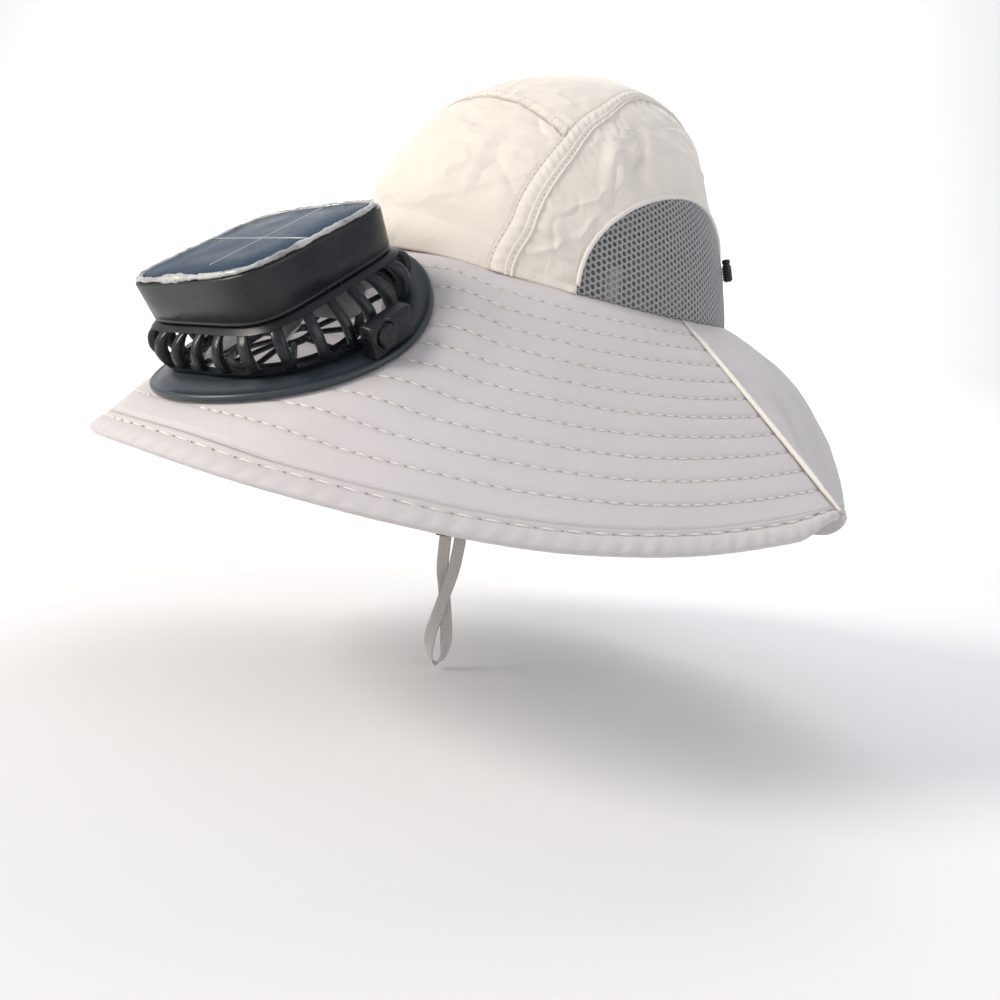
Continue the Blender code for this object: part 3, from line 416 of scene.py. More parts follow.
brim = {
    "width": 134.3 * mm,
    "slope": 41.8 * deg,
    "bend": 3.1 * deg,
    "waves": ((1, 0.004, -0.01, 0.13), (2, 0.096, 0.092, 0.71), (3, 0.0, -0.141, 0.0)),
    "steps": 8,
    "tuck": -1.6 * mm,
    "cloth": 2.4 * mm,
    "seam": 85.1 * deg,
    "hem": 10.5 * mm,
    "hemThick": 3.6 * mm,
    "rearHem": 7 * mm,
    "rearHemThick": 2.2 * mm,
    "rearCloth": 1.4 * mm,
    "droop": 20 * deg,
    "droopBend": 27 * deg,
    "droopSpan": 15 * deg,
    "trim": 0.09,
    "easeFrom": 20 * deg,
    "easeSpan": 70 * deg,
    "fold": 4.0 * mm,
    "folds": (
        (97, 9, 0.8),
        (112, 8, -0.9),
        (128, 10, 1.0),
        (147, 9, -1.0),
        (166, 11, 0.9),
        (187, 10, -0.8),
        (206, 11, 1.0),
        (226, 9, -1.0),
        (243, 9, 0.8),
        (259, 8, -0.7),
    ),
}
fan = {
    "place": Vector((-1.3, -153.5, -37.8)) * mm,
    "pitch": 35.1 * deg,
    "lean": 1.6 * deg,
    "twist": 4.3 * deg,
    "flange": 58.6 * mm,
    "wall": 2.0 * mm,
    "footHeight": 4.3 * mm,
    "rimHeight": 2.1 * mm,
    "footDrop": 11.4 * mm,
    "rimDrop": 7.6 * mm,
    "climb": 8.2 * mm,
    "reach": 59 * mm,
    "ease": 24 * mm,
    "foot": 45.5 * mm,
    "hole": 42 * mm,
    "guard": 52 * mm,
}


@functools.lru_cache(maxsize=None)
def headLine(angle):
    height = sum(head["wave"] * (c * math.cos(n * angle) + s * math.sin(n * angle)) for n, c, s in head["waves"])
    return Vector((head["width"] * math.sin(angle), -head["length"] * math.cos(angle), height))


def crownBare(angle, rise):
    girth = max(1 - rise ** crown["taper"], 1e-6) ** (1 / crown["round"])
    foot = headLine(angle)
    lean = crown["lean"] * (crown["leanBack"] * rise * rise - 1.28 * rise)
    return Vector((foot.x * girth, foot.y * girth + lean, crown["height"] * rise + (1 - rise) * foot.z))


def crownRelief(angle, rise):
    lift = crown["pouf"] * hump((rise * crown["height"] - crown["poufHeight"]) / (2 * crown["poufHeight"]))
    lift *= hump(turnBetween(angle, 0) / crown["poufHalf"]) if rise > 0 else 0.0
    for place, height, half, share in crown["dents"]:
        across = turnBetween(angle, place * deg) / (half * deg)
        if abs(across) < 1:
            lift += crown["dent"] * share * hump(across) * hump((rise - height) / 0.2)
    return lift


def crownPoint(angle, rise, proud=0.0):
    step = 0.01
    rise = min(max(rise, 0.0), 0.985)
    side = crownBare(angle + step, rise) - crownBare(angle - step, rise)
    up = crownBare(angle, min(rise + step, 0.99)) - crownBare(angle, max(rise - step, 0.0))
    return crownBare(angle, rise) + side.cross(up).normalized() * (crownRelief(angle, rise) + proud)


def crownFolds(angle, rise):
    # the finer folds, on a flat map of the crown in millimetres
    lift = 0.0
    here = Vector((turnBetween(angle, 0) / deg * 1.52, rise * 118))
    for a0, r0, a1, r1, half, depth in crown["folds"]:
        start = Vector((turnBetween(a0 * deg, 0) / deg * 1.52, r0 * 118))
        line = Vector((turnBetween(a1 * deg, 0) / deg * 1.52, r1 * 118)) - start
        share = min(max((here - start).dot(line) / line.length_squared, 0.0), 1.0)
        away = (here - start - line * share).length / half
        if away < 4:
            lift += depth * 1.25 * math.exp(-away * 1.2) * math.sin(math.pi * (0.1 + 0.8 * share))
    return lift * mm


def rumple(place, depth, size):
    # soft unevenness of cloth that has been worn
    return depth * (noise.noise(place / size) + 0.5 * noise.noise(place * 2.3 / size + Vector((7, 3, 1))))


def crumple(place, depth, size, stretch):
    # crisp folds of thin nylon: narrow ridges where a stretched noise passes through zero
    bent = place + Vector((noise.noise(place / 0.03), noise.noise(place / 0.03 + Vector((5, 5, 5))), 0)) * size * 0.5
    spot = Vector((bent.x / stretch[0], bent.y / stretch[1], bent.z / stretch[2])) / size
    ridge = 1 - min(abs(noise.noise(spot)) * 3.2, 1.0)
    where = easeStep(0.5 + 1.6 * noise.noise(place / 0.05 + Vector((1, 8, 2))))
    return depth * ridge * ridge * where


def pucker(away, along, pitch, depth, reach):
    # small waves that a seam draws into the cloth beside it
    if away > 4 * reach:
        return 0.0
    phase = 2 * math.pi * along / pitch + 2.4 * noise.noise(Vector((along / pitch * 0.7, 2.1, 0.4)))
    size = 0.6 + 0.8 * noise.noise(Vector((along / pitch * 0.31, 9.0, 3.0)))
    return depth * size * math.exp(-away / reach) * math.sin(phase)


def stripPlace(x, share):
    top = (1 - min(abs(x) / head["width"], 0.999) ** crown["round"]) ** (1 / crown["taper"])
    rise = min(top * math.sin(math.pi * share), 0.985)
    girth = max(1 - rise ** crown["taper"], 1e-6) ** (1 / crown["round"])
    angle = math.asin(max(-1.0, min(1.0, x / (head["width"] * girth))))
    return (angle, rise) if share <= 0.5 else (math.pi - angle, rise)


def overTop(x, share, lift):
    # as crownPoint on the strip x, and carried on over the flat top, where the crown's rise ends
    top = (1 - min(abs(x) / head["width"], 0.999) ** crown["round"]) ** (1 / crown["taper"])
    if top * math.sin(math.pi * share) <= 0.984:
        return crownPoint(*stripPlace(x, share), lift)
    edge = math.asin(0.984 / top) / math.pi
    angle, rise = stripPlace(x, edge)
    across = (share - edge) / (1 - 2 * edge)
    bulge = crown["bulge"] * (1 - (2 * across - 1) ** 2) * hump(x / (17 * mm))
    front, rear = crownPoint(angle, rise, lift + bulge), crownPoint(math.pi - angle, rise, lift + bulge)
    return front.lerp(rear, across)


def seamX(share):
    return seams["out"] * readTrack(seams["track"], share)


def bandHalf(share):
    return 0.5 * (seams["width"] + (seams["topWidth"] - seams["width"]) * math.sin(math.pi * share))


def stripPoint(side, offset, share, proud=0.0):
    angle, rise = stripPlace(side * (seamX(share) + offset), share)
    return crownPoint(angle, rise, proud)


def windowArch(side, share, grow):
    turn = math.pi * share
    half = window["half"] + grow / head["width"]
    top = (window["height"] + grow) / crown["height"]
    return side * (window["middle"] - half * math.cos(turn)), top * math.sin(turn)


def rearShare(angle, start, span):
    return easeStep((abs(turnBetween(angle, 0)) - brim["seam"] - start) / span)


@functools.lru_cache(maxsize=None)
def brimShape(angle):
    # width, slope and bend of the brim, its foot and the way out
    droop = rearShare(angle, 0.0, brim["droopSpan"])
    ease = rearShare(angle, brim["easeFrom"], brim["easeSpan"])
    factors = [1 + sum(row[k] * math.cos(row[0] * angle) for row in brim["waves"]) for k in (1, 2, 3)]
    out = Vector((math.sin(angle) / head["width"], -math.cos(angle) / head["length"], 0.0)).normalized()
    width = brim["width"] * factors[0] * (1 - brim["trim"] * droop)
    slope = brim["slope"] * factors[1] + brim["droop"] * (droop - ease)
    return width, slope, brim["bend"] * factors[2] + brim["droopBend"] * droop, headLine(angle), out


def flangeTop(forward, left):
    span = fan["flange"] - fan["foot"]
    rim = min(max((math.hypot(forward, left) - fan["foot"]) / span, 0.0), 1.0)
    height = fan["footHeight"] + (fan["rimHeight"] - fan["footHeight"]) * rim
    drop = fan["footDrop"] + (fan["rimDrop"] - fan["footDrop"]) * rim
    climb = fan["climb"] * max(-forward / fan["reach"], 0.0) ** 2
    return height - drop * (left / fan["reach"]) ** 2 + climb


def makeFanMatrix():
    turn = Matrix.Rotation(fan["pitch"], 3, "X") @ Matrix.Rotation(fan["lean"], 3, "Y") @ Matrix.Rotation(fan["twist"], 3, "Z")
    sides = Matrix(((0, -1, 0), (1, 0, 0), (0, 0, 1))).transposed()
    made = (turn @ sides).to_4x4()
    made.translation = fan["place"]
    return made


fanMatrix = makeFanMatrix()
fanForward, fanLeft, fanAxis = (fanMatrix.col[index].to_3d() for index in range(3))


def fanPoint(forward, left, height):
    return fanMatrix @ Vector((forward, left, height))


def fanDistance(place):
    away = place - fan["place"]
    return math.hypot(away.dot(fanForward), away.dot(fanLeft))


def brimBare(angle, share):
    width, slope, bend, foot, out = brimShape(angle)
    reach = drop = 0.0
    for step in range(brim["steps"]):
        here = slope + bend * (2 * (step + 0.5) / brim["steps"] * share - 1)
        reach += math.cos(here)
        drop += math.sin(here)
    scale = share * width / brim["steps"]
    place = foot + out * (reach * scale) - Vector((0, 0, drop * scale))
    if abs(turnBetween(angle, 0)) > 60 * deg:
        return place
    away = place - fan["place"]
    forward, left = away.dot(fanForward), away.dot(fanLeft)
    hold = 1 - easeStep((math.hypot(forward, left) - fan["flange"] - 3 * mm) / fan["ease"])
    hold *= easeStep(share / 0.045)
    if hold <= 0:
        return place
    seat = flangeTop(forward, left) - fan["wall"] - 0.9 * mm
    return place + fanAxis * hold * (seat - away.dot(fanAxis))


def brimPoint(angle, share, proud=0.0):
    step = 0.01
    side = brimBare(angle + step, share) - brimBare(angle - step, share)
    out = brimBare(angle, share + step) - brimBare(angle, max(share - step, 0.0))
    return brimBare(angle, share) + out.cross(side).normalized() * proud


def rearRelief(angle, share):
    lift = sum(depth * hump(turnBetween(angle, place * deg) / (half * deg)) for place, half, depth in brim["folds"])
    return brim["fold"] * lift * max(share, 0.0) ** 1.4


print("surfaces ready")


# sewing: every stitch is a short raised thread, with a dark pit where the needle went in, painted shade of the needle
# hole
def makeStitchMesh(name, long, segments, rings):
    bm = bmesh.new()
    bmesh.ops.create_uvsphere(bm, u_segments=segments, v_segments=rings, radius=1.0)
    bmesh.ops.rotate(bm, verts=bm.verts[:], matrix=Matrix.Rotation(math.pi / 2, 3, "Y"))
    for vert in bm.verts:
        vert.co.x *= long
    mesh = bpy.data.meshes.new(name)
    bm.to_mesh(mesh)
    bm.free()
    return mesh


stitchMesh = makeStitchMesh("stitchShape", 1.0, 6, 5)
pitMesh = makeStitchMesh("pitShape", 1.0, 6, 3)


def sewRow(bm, route, pitch, thread, radius, sink=0.0, lean=0.0, pit=0.0):
    # route is a list of places and ways out, close together
    lengths = [0.0]
    for (first, _), (second, _) in zip(route, route[1:]):
        lengths.append(lengths[-1] + (second - first).length)
    count = max(int(lengths[-1] / pitch + 0.5), 1)
    spot = 0
    for index in range(count):
        want = lengths[-1] * (index + 0.5) / count
        while spot < len(lengths) - 2 and lengths[spot + 1] < want:
            spot += 1
        share = (want - lengths[spot]) / max(lengths[spot + 1] - lengths[spot], 1e-9)
        (first, outFirst), (second, outSecond) = route[spot], route[spot + 1]
        along = (second - first).normalized()
        out = outFirst.lerp(outSecond, share)
        out = (out - along * out.dot(along)).normalized()
        turn = Matrix((along, out.cross(along), out)).transposed().to_4x4()
        place = first.lerp(second, share) - out * sink
        sway = 0.06 * noise.noise(Vector((index * 0.7, radius * 900, 1.0)))
        shape = Matrix.Translation(place) @ turn @ Matrix.Rotation(lean, 4, "Y") @ Matrix.Rotation(sway, 4, "Z")
        one = stitchMesh.copy()
        one.transform(shape @ Matrix.Diagonal((thread / 2, radius * 0.85, radius, 1)))
        bm.from_mesh(one)
        bpy.data.meshes.remove(one)
        # the pit is a dark blob in the needle-hole material, painted shade of the hole
        if pit:
            start = len(bm.faces)
            hole = pitMesh.copy()
            back = Matrix.Translation(place + along * lengths[-1] / count / 2) @ turn
            hole.transform(back @ Matrix.Diagonal((pit * 1.3, pit, pit * 0.5, 1)))
            bm.from_mesh(hole)
            bpy.data.meshes.remove(hole)
            bm.faces.ensure_lookup_table()
            for face in bm.faces[start:]:
                face.material_index = 1


def sewPiece(name, rows):
    bm = bmesh.new()
    for route, values in rows:
        sewRow(bm, route, **values)
    return finishPiece(name, bm, (sewingThread, needleHoleShade))


# chin strap: one ribbon from the left of the head opening to the right, the only cord
strap = {
    "width": 6.0 * mm,
    "cloth": 0.9 * mm,
    "steps": 260,
    "length": 0.450,
    "side": Vector((0.746, 0.666, 0.0)),
    "face": Vector((0.666, -0.746, 0.0)),
    "centre": Vector((0.0, -46 * mm, 0.0)),
    "fromLeft": ((73.6, -47.0, 10.0, 27), (73.8, -46.5, -6.0, 25), (68.0, -46.0, -34.0, 12), (51.0, -46.0, -66.0, 0), (27.0, -46.0, -93.0, 0), (9.5, -46.0, -106.0, 30)),
    "loop": (
        (3.6, 0.0, -113.0, 48),
        (3.6, 0.2, -124.5, 48),
        (2.6, 0.9, -138.0, 44),
        (0.2, 1.5, -150.0, 36),
        (-2.4, 1.4, -162.0, 44),
        (-4.4, 0.8, -173.0, 62),
        (-3.4, 0.2, -182.0, 110),
        (0.0, 0.0, -186.5, 138),
        (3.4, -0.2, -182.0, 166),
        (3.6, -0.8, -173.0, 214),
        (1.8, -1.4, -162.0, 232),
        (-0.6, -1.5, -150.0, 236),
        (-3.0, -0.9, -138.0, 230),
        (-3.6, -0.2, -124.5, 228),
        (-3.6, 0.0, -113.0, 228),
    ),
}


def strapRows():
    rows = [(Vector((x, y, z)) * mm, turn) for x, y, z, turn in strap["fromLeft"]]
    for sideways, forward, height, turn in strap["loop"]:
        rows.append((strap["centre"] + (strap["side"] * sideways + strap["face"] * forward + Vector((0, 0, height))) * mm, turn))
    rows += [(Vector((-x, y, z)) * mm, 180 - turn) for x, y, z, turn in reversed(strap["fromLeft"])]
    return rows


def smoothRoute(rows, count):
    fine = []
    for index in range(len(rows) - 1):
        before, start, end = rows[max(index - 1, 0)], rows[index], rows[index + 1]
        after = rows[min(index + 2, len(rows) - 1)]
        for step in range(12):
            t = step / 12
            bent = (2 * before[0] - 5 * start[0] + 4 * end[0] - after[0]) * t * t + (3 * start[0] - before[0] - 3 * end[0] + after[0]) * t**3
            fine.append((0.5 * (2 * start[0] + (end[0] - before[0]) * t + bent), start[1] + (end[1] - start[1]) * easeStep(t)))
    fine.append(rows[-1])
    lengths = [0.0]
    for first, second in zip(fine, fine[1:]):
        lengths.append(lengths[-1] + (second[0] - first[0]).length)
    route, index = [], 0
    for step in range(count + 1):
        want = lengths[-1] * step / count
        while index < len(lengths) - 2 and lengths[index + 1] < want:
            index += 1
        t = (want - lengths[index]) / max(lengths[index + 1] - lengths[index], 1e-9)
        route.append((fine[index][0].lerp(fine[index + 1][0], t), fine[index][1] + (fine[index + 1][1] - fine[index][1]) * t))
    return route


def makeStrap():
    steps = strap["steps"]
    route = smoothRoute(strapRows(), steps)
    frames = []
    for index, (place, turn) in enumerate(route):
        along = (route[min(index + 1, steps)][0] - route[max(index - 1, 0)][0]).normalized()
        flat = Vector((math.sin(turn * deg), math.cos(turn * deg), 0.0))
        flat = (flat - along * flat.dot(along)).normalized()
        frames.append((place, flat, along.cross(flat), along))

    def skin(turn, v):
        index = min(int(v * steps + 0.5), steps)
        place, flat, face, _ = frames[index]
        c, s = math.cos(turn), math.sin(turn)
        across = math.copysign(abs(c) ** 0.5, c)
        deep = math.copysign(abs(s) ** 0.7, s) * (1 + 0.35 * hump((abs(across) - 0.86) / 0.16))
        ripple = 0.12 * mm * math.sin(index * 0.83 + 2 * across) * abs(across)
        return place + flat * across * strap["width"] / 2 + face * (deep * strap["cloth"] / 2 * 0.8 + ripple)

    bm = roundTube(skin, 20, steps, (0.013, 0.45))
    ribbon = finishPiece("chinStrap", bm, webbing, ("chin_strap",))
    rows = []
    for edge in (-0.62, 0.62):
        for side in (1, -1):
            row = [(place + flat * edge * strap["width"] / 2 + face * side * 0.36 * mm, face * side) for place, flat, face, _ in frames]
            rows.append((row, {"pitch": 2.6 * mm, "thread": 1.9 * mm, "radius": 0.16 * mm}))
    stitches = sewPiece("strapStitches", rows)


makeStrap()
print("chin strap made")


# crown panels
panels = {
    "rumple": 0.6 * mm,
    "rumpleSize": 24 * mm,
    "crumples": ((0.75, 19, (1.0, 1.0, 0.5)), (-0.5, 14, (1.4, 1.0, 0.9)), (0.16, 7, (0.8, 1.0, 1.6))),
    "sink": 1.6 * mm,
    "lap": 0.9 * mm,
    "stitch": {"pitch": 2.9 * mm, "thread": 2.1 * mm, "radius": 0.2 * mm, "pit": 0.2 * mm},
}


def shareAtHeight(height, back=False):
    top = math.asin(min(height / crown["height"], 0.99)) / math.pi
    return 1 - top if back else top


def crownLift(angle, rise):
    place = crownBare(angle, min(rise, 0.985))
    lift = crownFolds(angle, rise) + rumple(place, panels["rumple"], panels["rumpleSize"])
    for depth, size, stretch in panels["crumples"]:
        lift += crumple(place, depth * mm, size * mm, stretch)
    return lift + rumple(place, 0.16 * mm, 8 * mm) - panels["sink"] * easeStep((rise - 0.75) / 0.24)


def panelEnds(start, end, slantStart, slantEnd, u):
    sway = (2 * u - 1) ** 2
    return start - slantStart * start * sway, end - slantEnd * end * sway


def middlePanel(name, node, start, end, across, along, slants=(0.0, 0.0), ridges=(0, 0)):
    def place(u, v):
        first, last = panelEnds(start, end, *slants, u)
        share = first + (last - first) * v
        reach = seamX(share) - bandHalf(share) + 0.6 * mm
        angle, rise = stripPlace((2 * u - 1) * reach, share)
        edge = (1 - abs(2 * u - 1)) * reach
        lift = crownLift(angle, rise) + pucker(edge, share * 0.33 + u, 6.5 * mm, 0.5 * mm, 5 * mm)
        # groove paints shade along the panel's seam edges, in the stitch lines and at the foot of the ridge
        groove = 0.7 * hump(edge / (1.6 * mm))
        for ridge, far in ((ridges[0], v), (ridges[1], 1 - v)):
            if ridge:
                away = far * (last - first) * 0.33
                lift += ridge * mm * (1 - easeStep((away - 5.2 * mm) / (1.2 * mm)))
                lift += pucker(away, u * 0.1, 5.5 * mm, 0.35 * mm, 5 * mm)
                groove = max(groove, 0.8 * hump((away - 5.6 * mm) / (0.9 * mm)), hump(away / (0.8 * mm)))
        return overTop((2 * u - 1) * reach, share, lift), groove

    bm = loft(place, across, along, (0.1, 0.12), inside=(0, 0, 0.02))
    piece = finishPiece(name, bm, crownCloth, (node,))
    return wall(piece, crown["cloth"], crownInsideShade)


def crossRow(share, slant, away, proud):
    # a stitch row that runs over the crown from side to side, away from the seam at this share
    route = []
    for step in range(81):
        u = step / 80
        here = share - slant * share * (2 * u - 1) ** 2 + away / 0.33
        reach = seamX(here) - bandHalf(here)
        angle, rise = stripPlace((2 * u - 1) * reach, here)
        place = crownPoint(angle, rise, crownLift(angle, rise) + proud)
        route.append((place, (crownPoint(angle, rise, 5 * mm) - crownPoint(angle, rise)).normalized()))
    return route


def makeCrownMiddle():
    frontEnd = shareAtHeight(seams["topHeight"])
    backStart = shareAtHeight(seams["backHeight"], back=True)
    gap = 0.2 * mm / 0.33
    lap = panels["lap"] / 0.33
    slant = seams["topSlant"]
    middlePanel("crownFront", "crown_front_panel", 0.0, frontEnd - gap, 100, 90, (0.0, slant))
    middlePanel("crownTop", "crown_top_panel", frontEnd + gap, backStart + lap, 90, 120, (slant, 0.0), (0.45, 0))
    middlePanel("crownBack", "crown_back_panel", backStart + gap, 1.0, 90, 70, (0.0, 0.0), (0.4, 0))
    rows = [
        (crossRow(frontEnd, slant, 1.6 * mm, 0.45 * mm), panels["stitch"]),
        (crossRow(frontEnd, slant, 4.4 * mm, 0.45 * mm), panels["stitch"]),
        (crossRow(backStart, 0.0, 1.6 * mm, 0.4 * mm), panels["stitch"]),
        (crossRow(backStart, 0.0, 4.4 * mm, 0.4 * mm), panels["stitch"]),
    ]
    sewPiece("crownCrossStitches", rows)


gathers = {"from": 73 * deg, "to": 106 * deg, "pitch": 3.1 * mm, "depth": 0.75 * mm, "reach": 4.5 * mm}


def makeSidePanel(name, node, side):
    def place(u, v):
        seamAngle, seamRise = stripPlace(seamX(v) + bandHalf(v) - 0.6 * mm, v)
        archAngle, archRise = windowArch(1, v, 0.3 * mm)
        angle = archAngle + (seamAngle - archAngle) * u
        rise = archRise + (seamRise - archRise) * u
        span = (crownBare(archAngle, archRise) - crownBare(seamAngle, min(seamRise, 0.985))).length
        lift = crownLift(side * angle, rise)
        lift += pucker((1 - u) * span, v * 0.33 + side, 6.5 * mm, 0.5 * mm, 5 * mm)
        inside = hump((archAngle - 0.5 * (gathers["from"] + gathers["to"])) / (0.5 * (gathers["to"] - gathers["from"])))
        wave = math.sin(2 * math.pi * archAngle * 0.075 / gathers["pitch"] + 2 * noise.noise(Vector((archAngle * 30, 1, side))))
        away = u * span
        lift += gathers["depth"] * inside * wave * math.exp(-away / gathers["reach"]) * easeStep(away / (1.5 * mm))
        lift += pucker(away, v * 0.22 + 3 * side, 9 * mm, 0.3 * mm, 6 * mm)
        # groove paints shade along the seam edge and in the troughs of the gathers beside the window
        groove = max(0.7 * hump((1 - u) * span / (1.6 * mm)), 0.5 * inside * max(-wave, 0) * math.exp(-away / gathers["reach"]))
        return crownPoint(side * angle, rise, lift), groove

    bm = loft(place, 104, 250, (0.06, 0.3), inside=(0, 0, 0.02))
    piece = finishPiece(name, bm, crownCloth, (node,))
    return wall(piece, crown["cloth"], crownInsideShade)


band = {"across": 26, "along": 320, "stitch": {"pitch": 2.8 * mm, "thread": 2.0 * mm, "radius": 0.34 * mm, "pit": 0.2 * mm}}


def bandProfile(x, along):
    # height over the crown, with x from -1 at the inner edge to 1 at the outer edge
    wave = math.sin(2 * math.pi * along / (5.1 * mm) + 2.5 * noise.noise(Vector((along * 90, 4, 4))) + 1.4 * x)
    puff = 0.6 * hump((x + 0.2) / 0.62) * (1 + 0.5 * wave)
    ridge = 0.42 * hump((x - 0.42) / 0.14) + 0.25 * hump((x - 0.92) / 0.12)
    dips = 0.35 * hump((x + 0.8) / 0.14) + 0.3 * hump((x - 0.7) / 0.16)
    return seams["proud"] + (puff + ridge - dips) * mm * 0.8


def makeSeamBand(name, node, side):
    def place(u, v):
        x = 2 * u - 1
        angle, rise = stripPlace(side * (seamX(v) + x * bandHalf(v)), v)
        lift = bandProfile(x, v * 0.33) + crownLift(angle, rise) * 0.6
        # groove paints shade in the two stitch lines and in the dip between the puff and the ridge
        groove = max(0.8 * hump((x + 0.8) / 0.13), 0.8 * hump((x - 0.7) / 0.13), 0.5 * hump((x - 0.25) / 0.1))
        return crownPoint(angle, rise, lift), groove

    bm = loft(place, band["across"], band["along"], (0.009, 0.33), inside=(0, 0, 0.02))
    wall(finishPiece(name, bm, crownCloth, (node,)), seams["cloth"], crownInsideShade)
    rows = []
    for x in (-0.8, 0.7):
        route = []
        for step in range(241):
            v = 0.004 + 0.992 * step / 240
            angle, rise = stripPlace(side * (seamX(v) + x * bandHalf(v)), v)
            lift = bandProfile(x, v * 0.33) + crownLift(angle, rise) * 0.6
            out = (crownPoint(angle, rise, 5 * mm) - crownPoint(angle, rise)).normalized()
            route.append((crownPoint(angle, rise, lift + 0.05 * mm), out))
        rows.append((route, band["stitch"]))
    sewPiece(name + "Stitches", rows)


# mesh windows: a knitted net of six-sided holes, bound with piping
net = {"pitch": 2.75 * mm, "yarn": 0.85 * mm, "cloth": 0.6 * mm, "radius": 92 * mm, "overlap": 1.5 * mm, "tuck": 0.9 * mm}


def makeNet(name, node, side):
    pitch = net["pitch"]
    column = pitch * math.sqrt(3) / 2
    poke = pitch / math.sqrt(3) / 4
    wide = int(2 * window["half"] * net["radius"] / column) + 4
    tall = 2 * int(window["height"] / pitch + 3)
    bm = bmesh.new()
    uv = bm.loops.layers.uv.new("UVMap")
    bm.verts.layers.float.new("groove")
    bmesh.ops.create_grid(bm, x_segments=wide, y_segments=tall, size=0.5)
    cells = {}
    for vert in bm.verts:
        cells[vert] = (int((vert.co.x + 0.5) * wide + 0.5), int((vert.co.y + 0.5) * tall + 0.5))
    between = []
    for edge in bm.edges:
        (i0, j0), (i1, j1) = (cells[vert] for vert in edge.verts)
        if j0 == j1 and (min(i0, i1) + j0) % 2 == 1:
            between.append(edge)
    for vert, (i, j) in cells.items():
        shift = -poke if (i + j) % 2 == 1 else poke
        vert.co = Vector(((i - wide / 2) * column + shift, (j - 1.5) * pitch / 2, 0.0))
    bmesh.ops.dissolve_edges(bm, edges=between, use_verts=False)
    outside = []
    reach = window["half"] * net["radius"] + net["overlap"]
    top = window["height"] + net["overlap"]
    for face in bm.faces:
        middle = face.calc_center_median()
        if (middle.x / reach) ** 2 + (middle.y / top) ** 2 > 1 or middle.y < -0.3 * mm or len(face.verts) < 6:
            outside.append(face)
    bmesh.ops.delete(bm, geom=outside, context="FACES")
    before = bm.faces[:]
    bmesh.ops.inset_individual(bm, faces=before, thickness=net["yarn"] / 2, depth=0.0, use_even_offset=True)
    bmesh.ops.delete(bm, geom=before, context="FACES")
    for face in bm.faces:
        for loop in face.loops:
            loop[uv].uv = loop.vert.co.xy
    for vert in bm.verts:
        angle = window["middle"] + vert.co.x / net["radius"]
        sag = 0.35 * mm * noise.noise(Vector((vert.co.x * 60, vert.co.y * 60, side)))
        if ((angle - window["middle"]) / window["half"]) ** 2 + (vert.co.y / window["height"]) ** 2 > 1:
            sag -= net["tuck"]
        vert.co = crownPoint(side * angle, vert.co.y / crown["height"], sag - 0.2 * mm)
    bm.normal_update()
    faceFrom(bm, Vector((0, 0, 0.02)))
    wall(finishPiece(name, bm, netYarn, (node,)), net["cloth"])


def makeWindowPiping(name, node, side):
    steps = 110

    def skin(turn, v):
        share = 0.02 + 0.96 * v
        angle, rise = windowArch(side, share, 0.0)
        nextAngle, nextRise = windowArch(side, share + 0.004, 0.0)
        middle = crownPoint(angle, rise, 0.0)
        along = (crownPoint(nextAngle, nextRise, 0.0) - middle).normalized()
        out = (crownPoint(angle, rise, 5 * mm) - middle).normalized()
        across = along.cross(out).normalized() * side
        radius = window["piping"] * (1 + 0.05 * math.sin(v * 260 + 2 * turn))
        return middle + across * math.cos(turn) * radius * 0.72 + out * math.sin(turn) * radius * 0.7

    bm = roundTube(skin, 12, steps, (0.009, 0.2))
    finishPiece(name, bm, pipingCloth, (node,))


makeCrownMiddle()
for label, side in (("Left", 1), ("Right", -1)):
    low = label.lower()
    makeSidePanel("crownSide" + label, "crown_side_panel_" + low, side)
    makeSeamBand("seamBand" + label, "crown_seam_band_" + low, side)
    makeNet("windowNet" + label, "mesh_insert_" + low, side)
    makeWindowPiping("windowPiping" + label, "mesh_piping_" + low, side)
print("crown made")


# brim
sewing = {
    "first": 0.084,
    "count": 10,
    "groove": 0.24 * mm,
    "half": 1.15 * mm,
    "puff": 0.22 * mm,
    "stitch": {"pitch": 5.85 * mm, "thread": 4.0 * mm, "radius": 0.42 * mm, "sink": 0.1 * mm, "lean": 0.08, "pit": 0.3 * mm},
}
hem = {
    "pitch": 9.4 * mm,
    "pucker": 0.3 * mm,
    "stitchIn": 8.0 * mm,
    "stitch": {"pitch": 9.4 * mm, "thread": 5.6 * mm, "radius": 0.5 * mm, "sink": 0.1 * mm, "lean": 0.1, "pit": 0.36 * mm},
    "corner": 5.5 * mm,
    "cornerSpan": 9 * deg,
}


def brimLift(angle, share):
    # how far the cloth stands off, and how deep in a seam it lies, the second value painting shade into the stitch
    # grooves
    place = brimBare(angle, share)
    clear = easeStep((fanDistance(place) - fan["flange"] - 1.5 * mm) / (6 * mm))
    width = brimShape(angle)[0]
    row = share / sewing["first"]
    nearest = min(max(round(row), 1), sewing["count"])
    away = abs(row - nearest) * sewing["first"] * width
    dip = hump(away / sewing["half"])
    lift = sewing["puff"] * math.sin(math.pi * (row % 1.0)) if row < sewing["count"] else 0.0
    lift += rumple(place, 0.5 * mm, 45 * mm)
    return clear * lift - sewing["groove"] * dip, 0.25 * dip


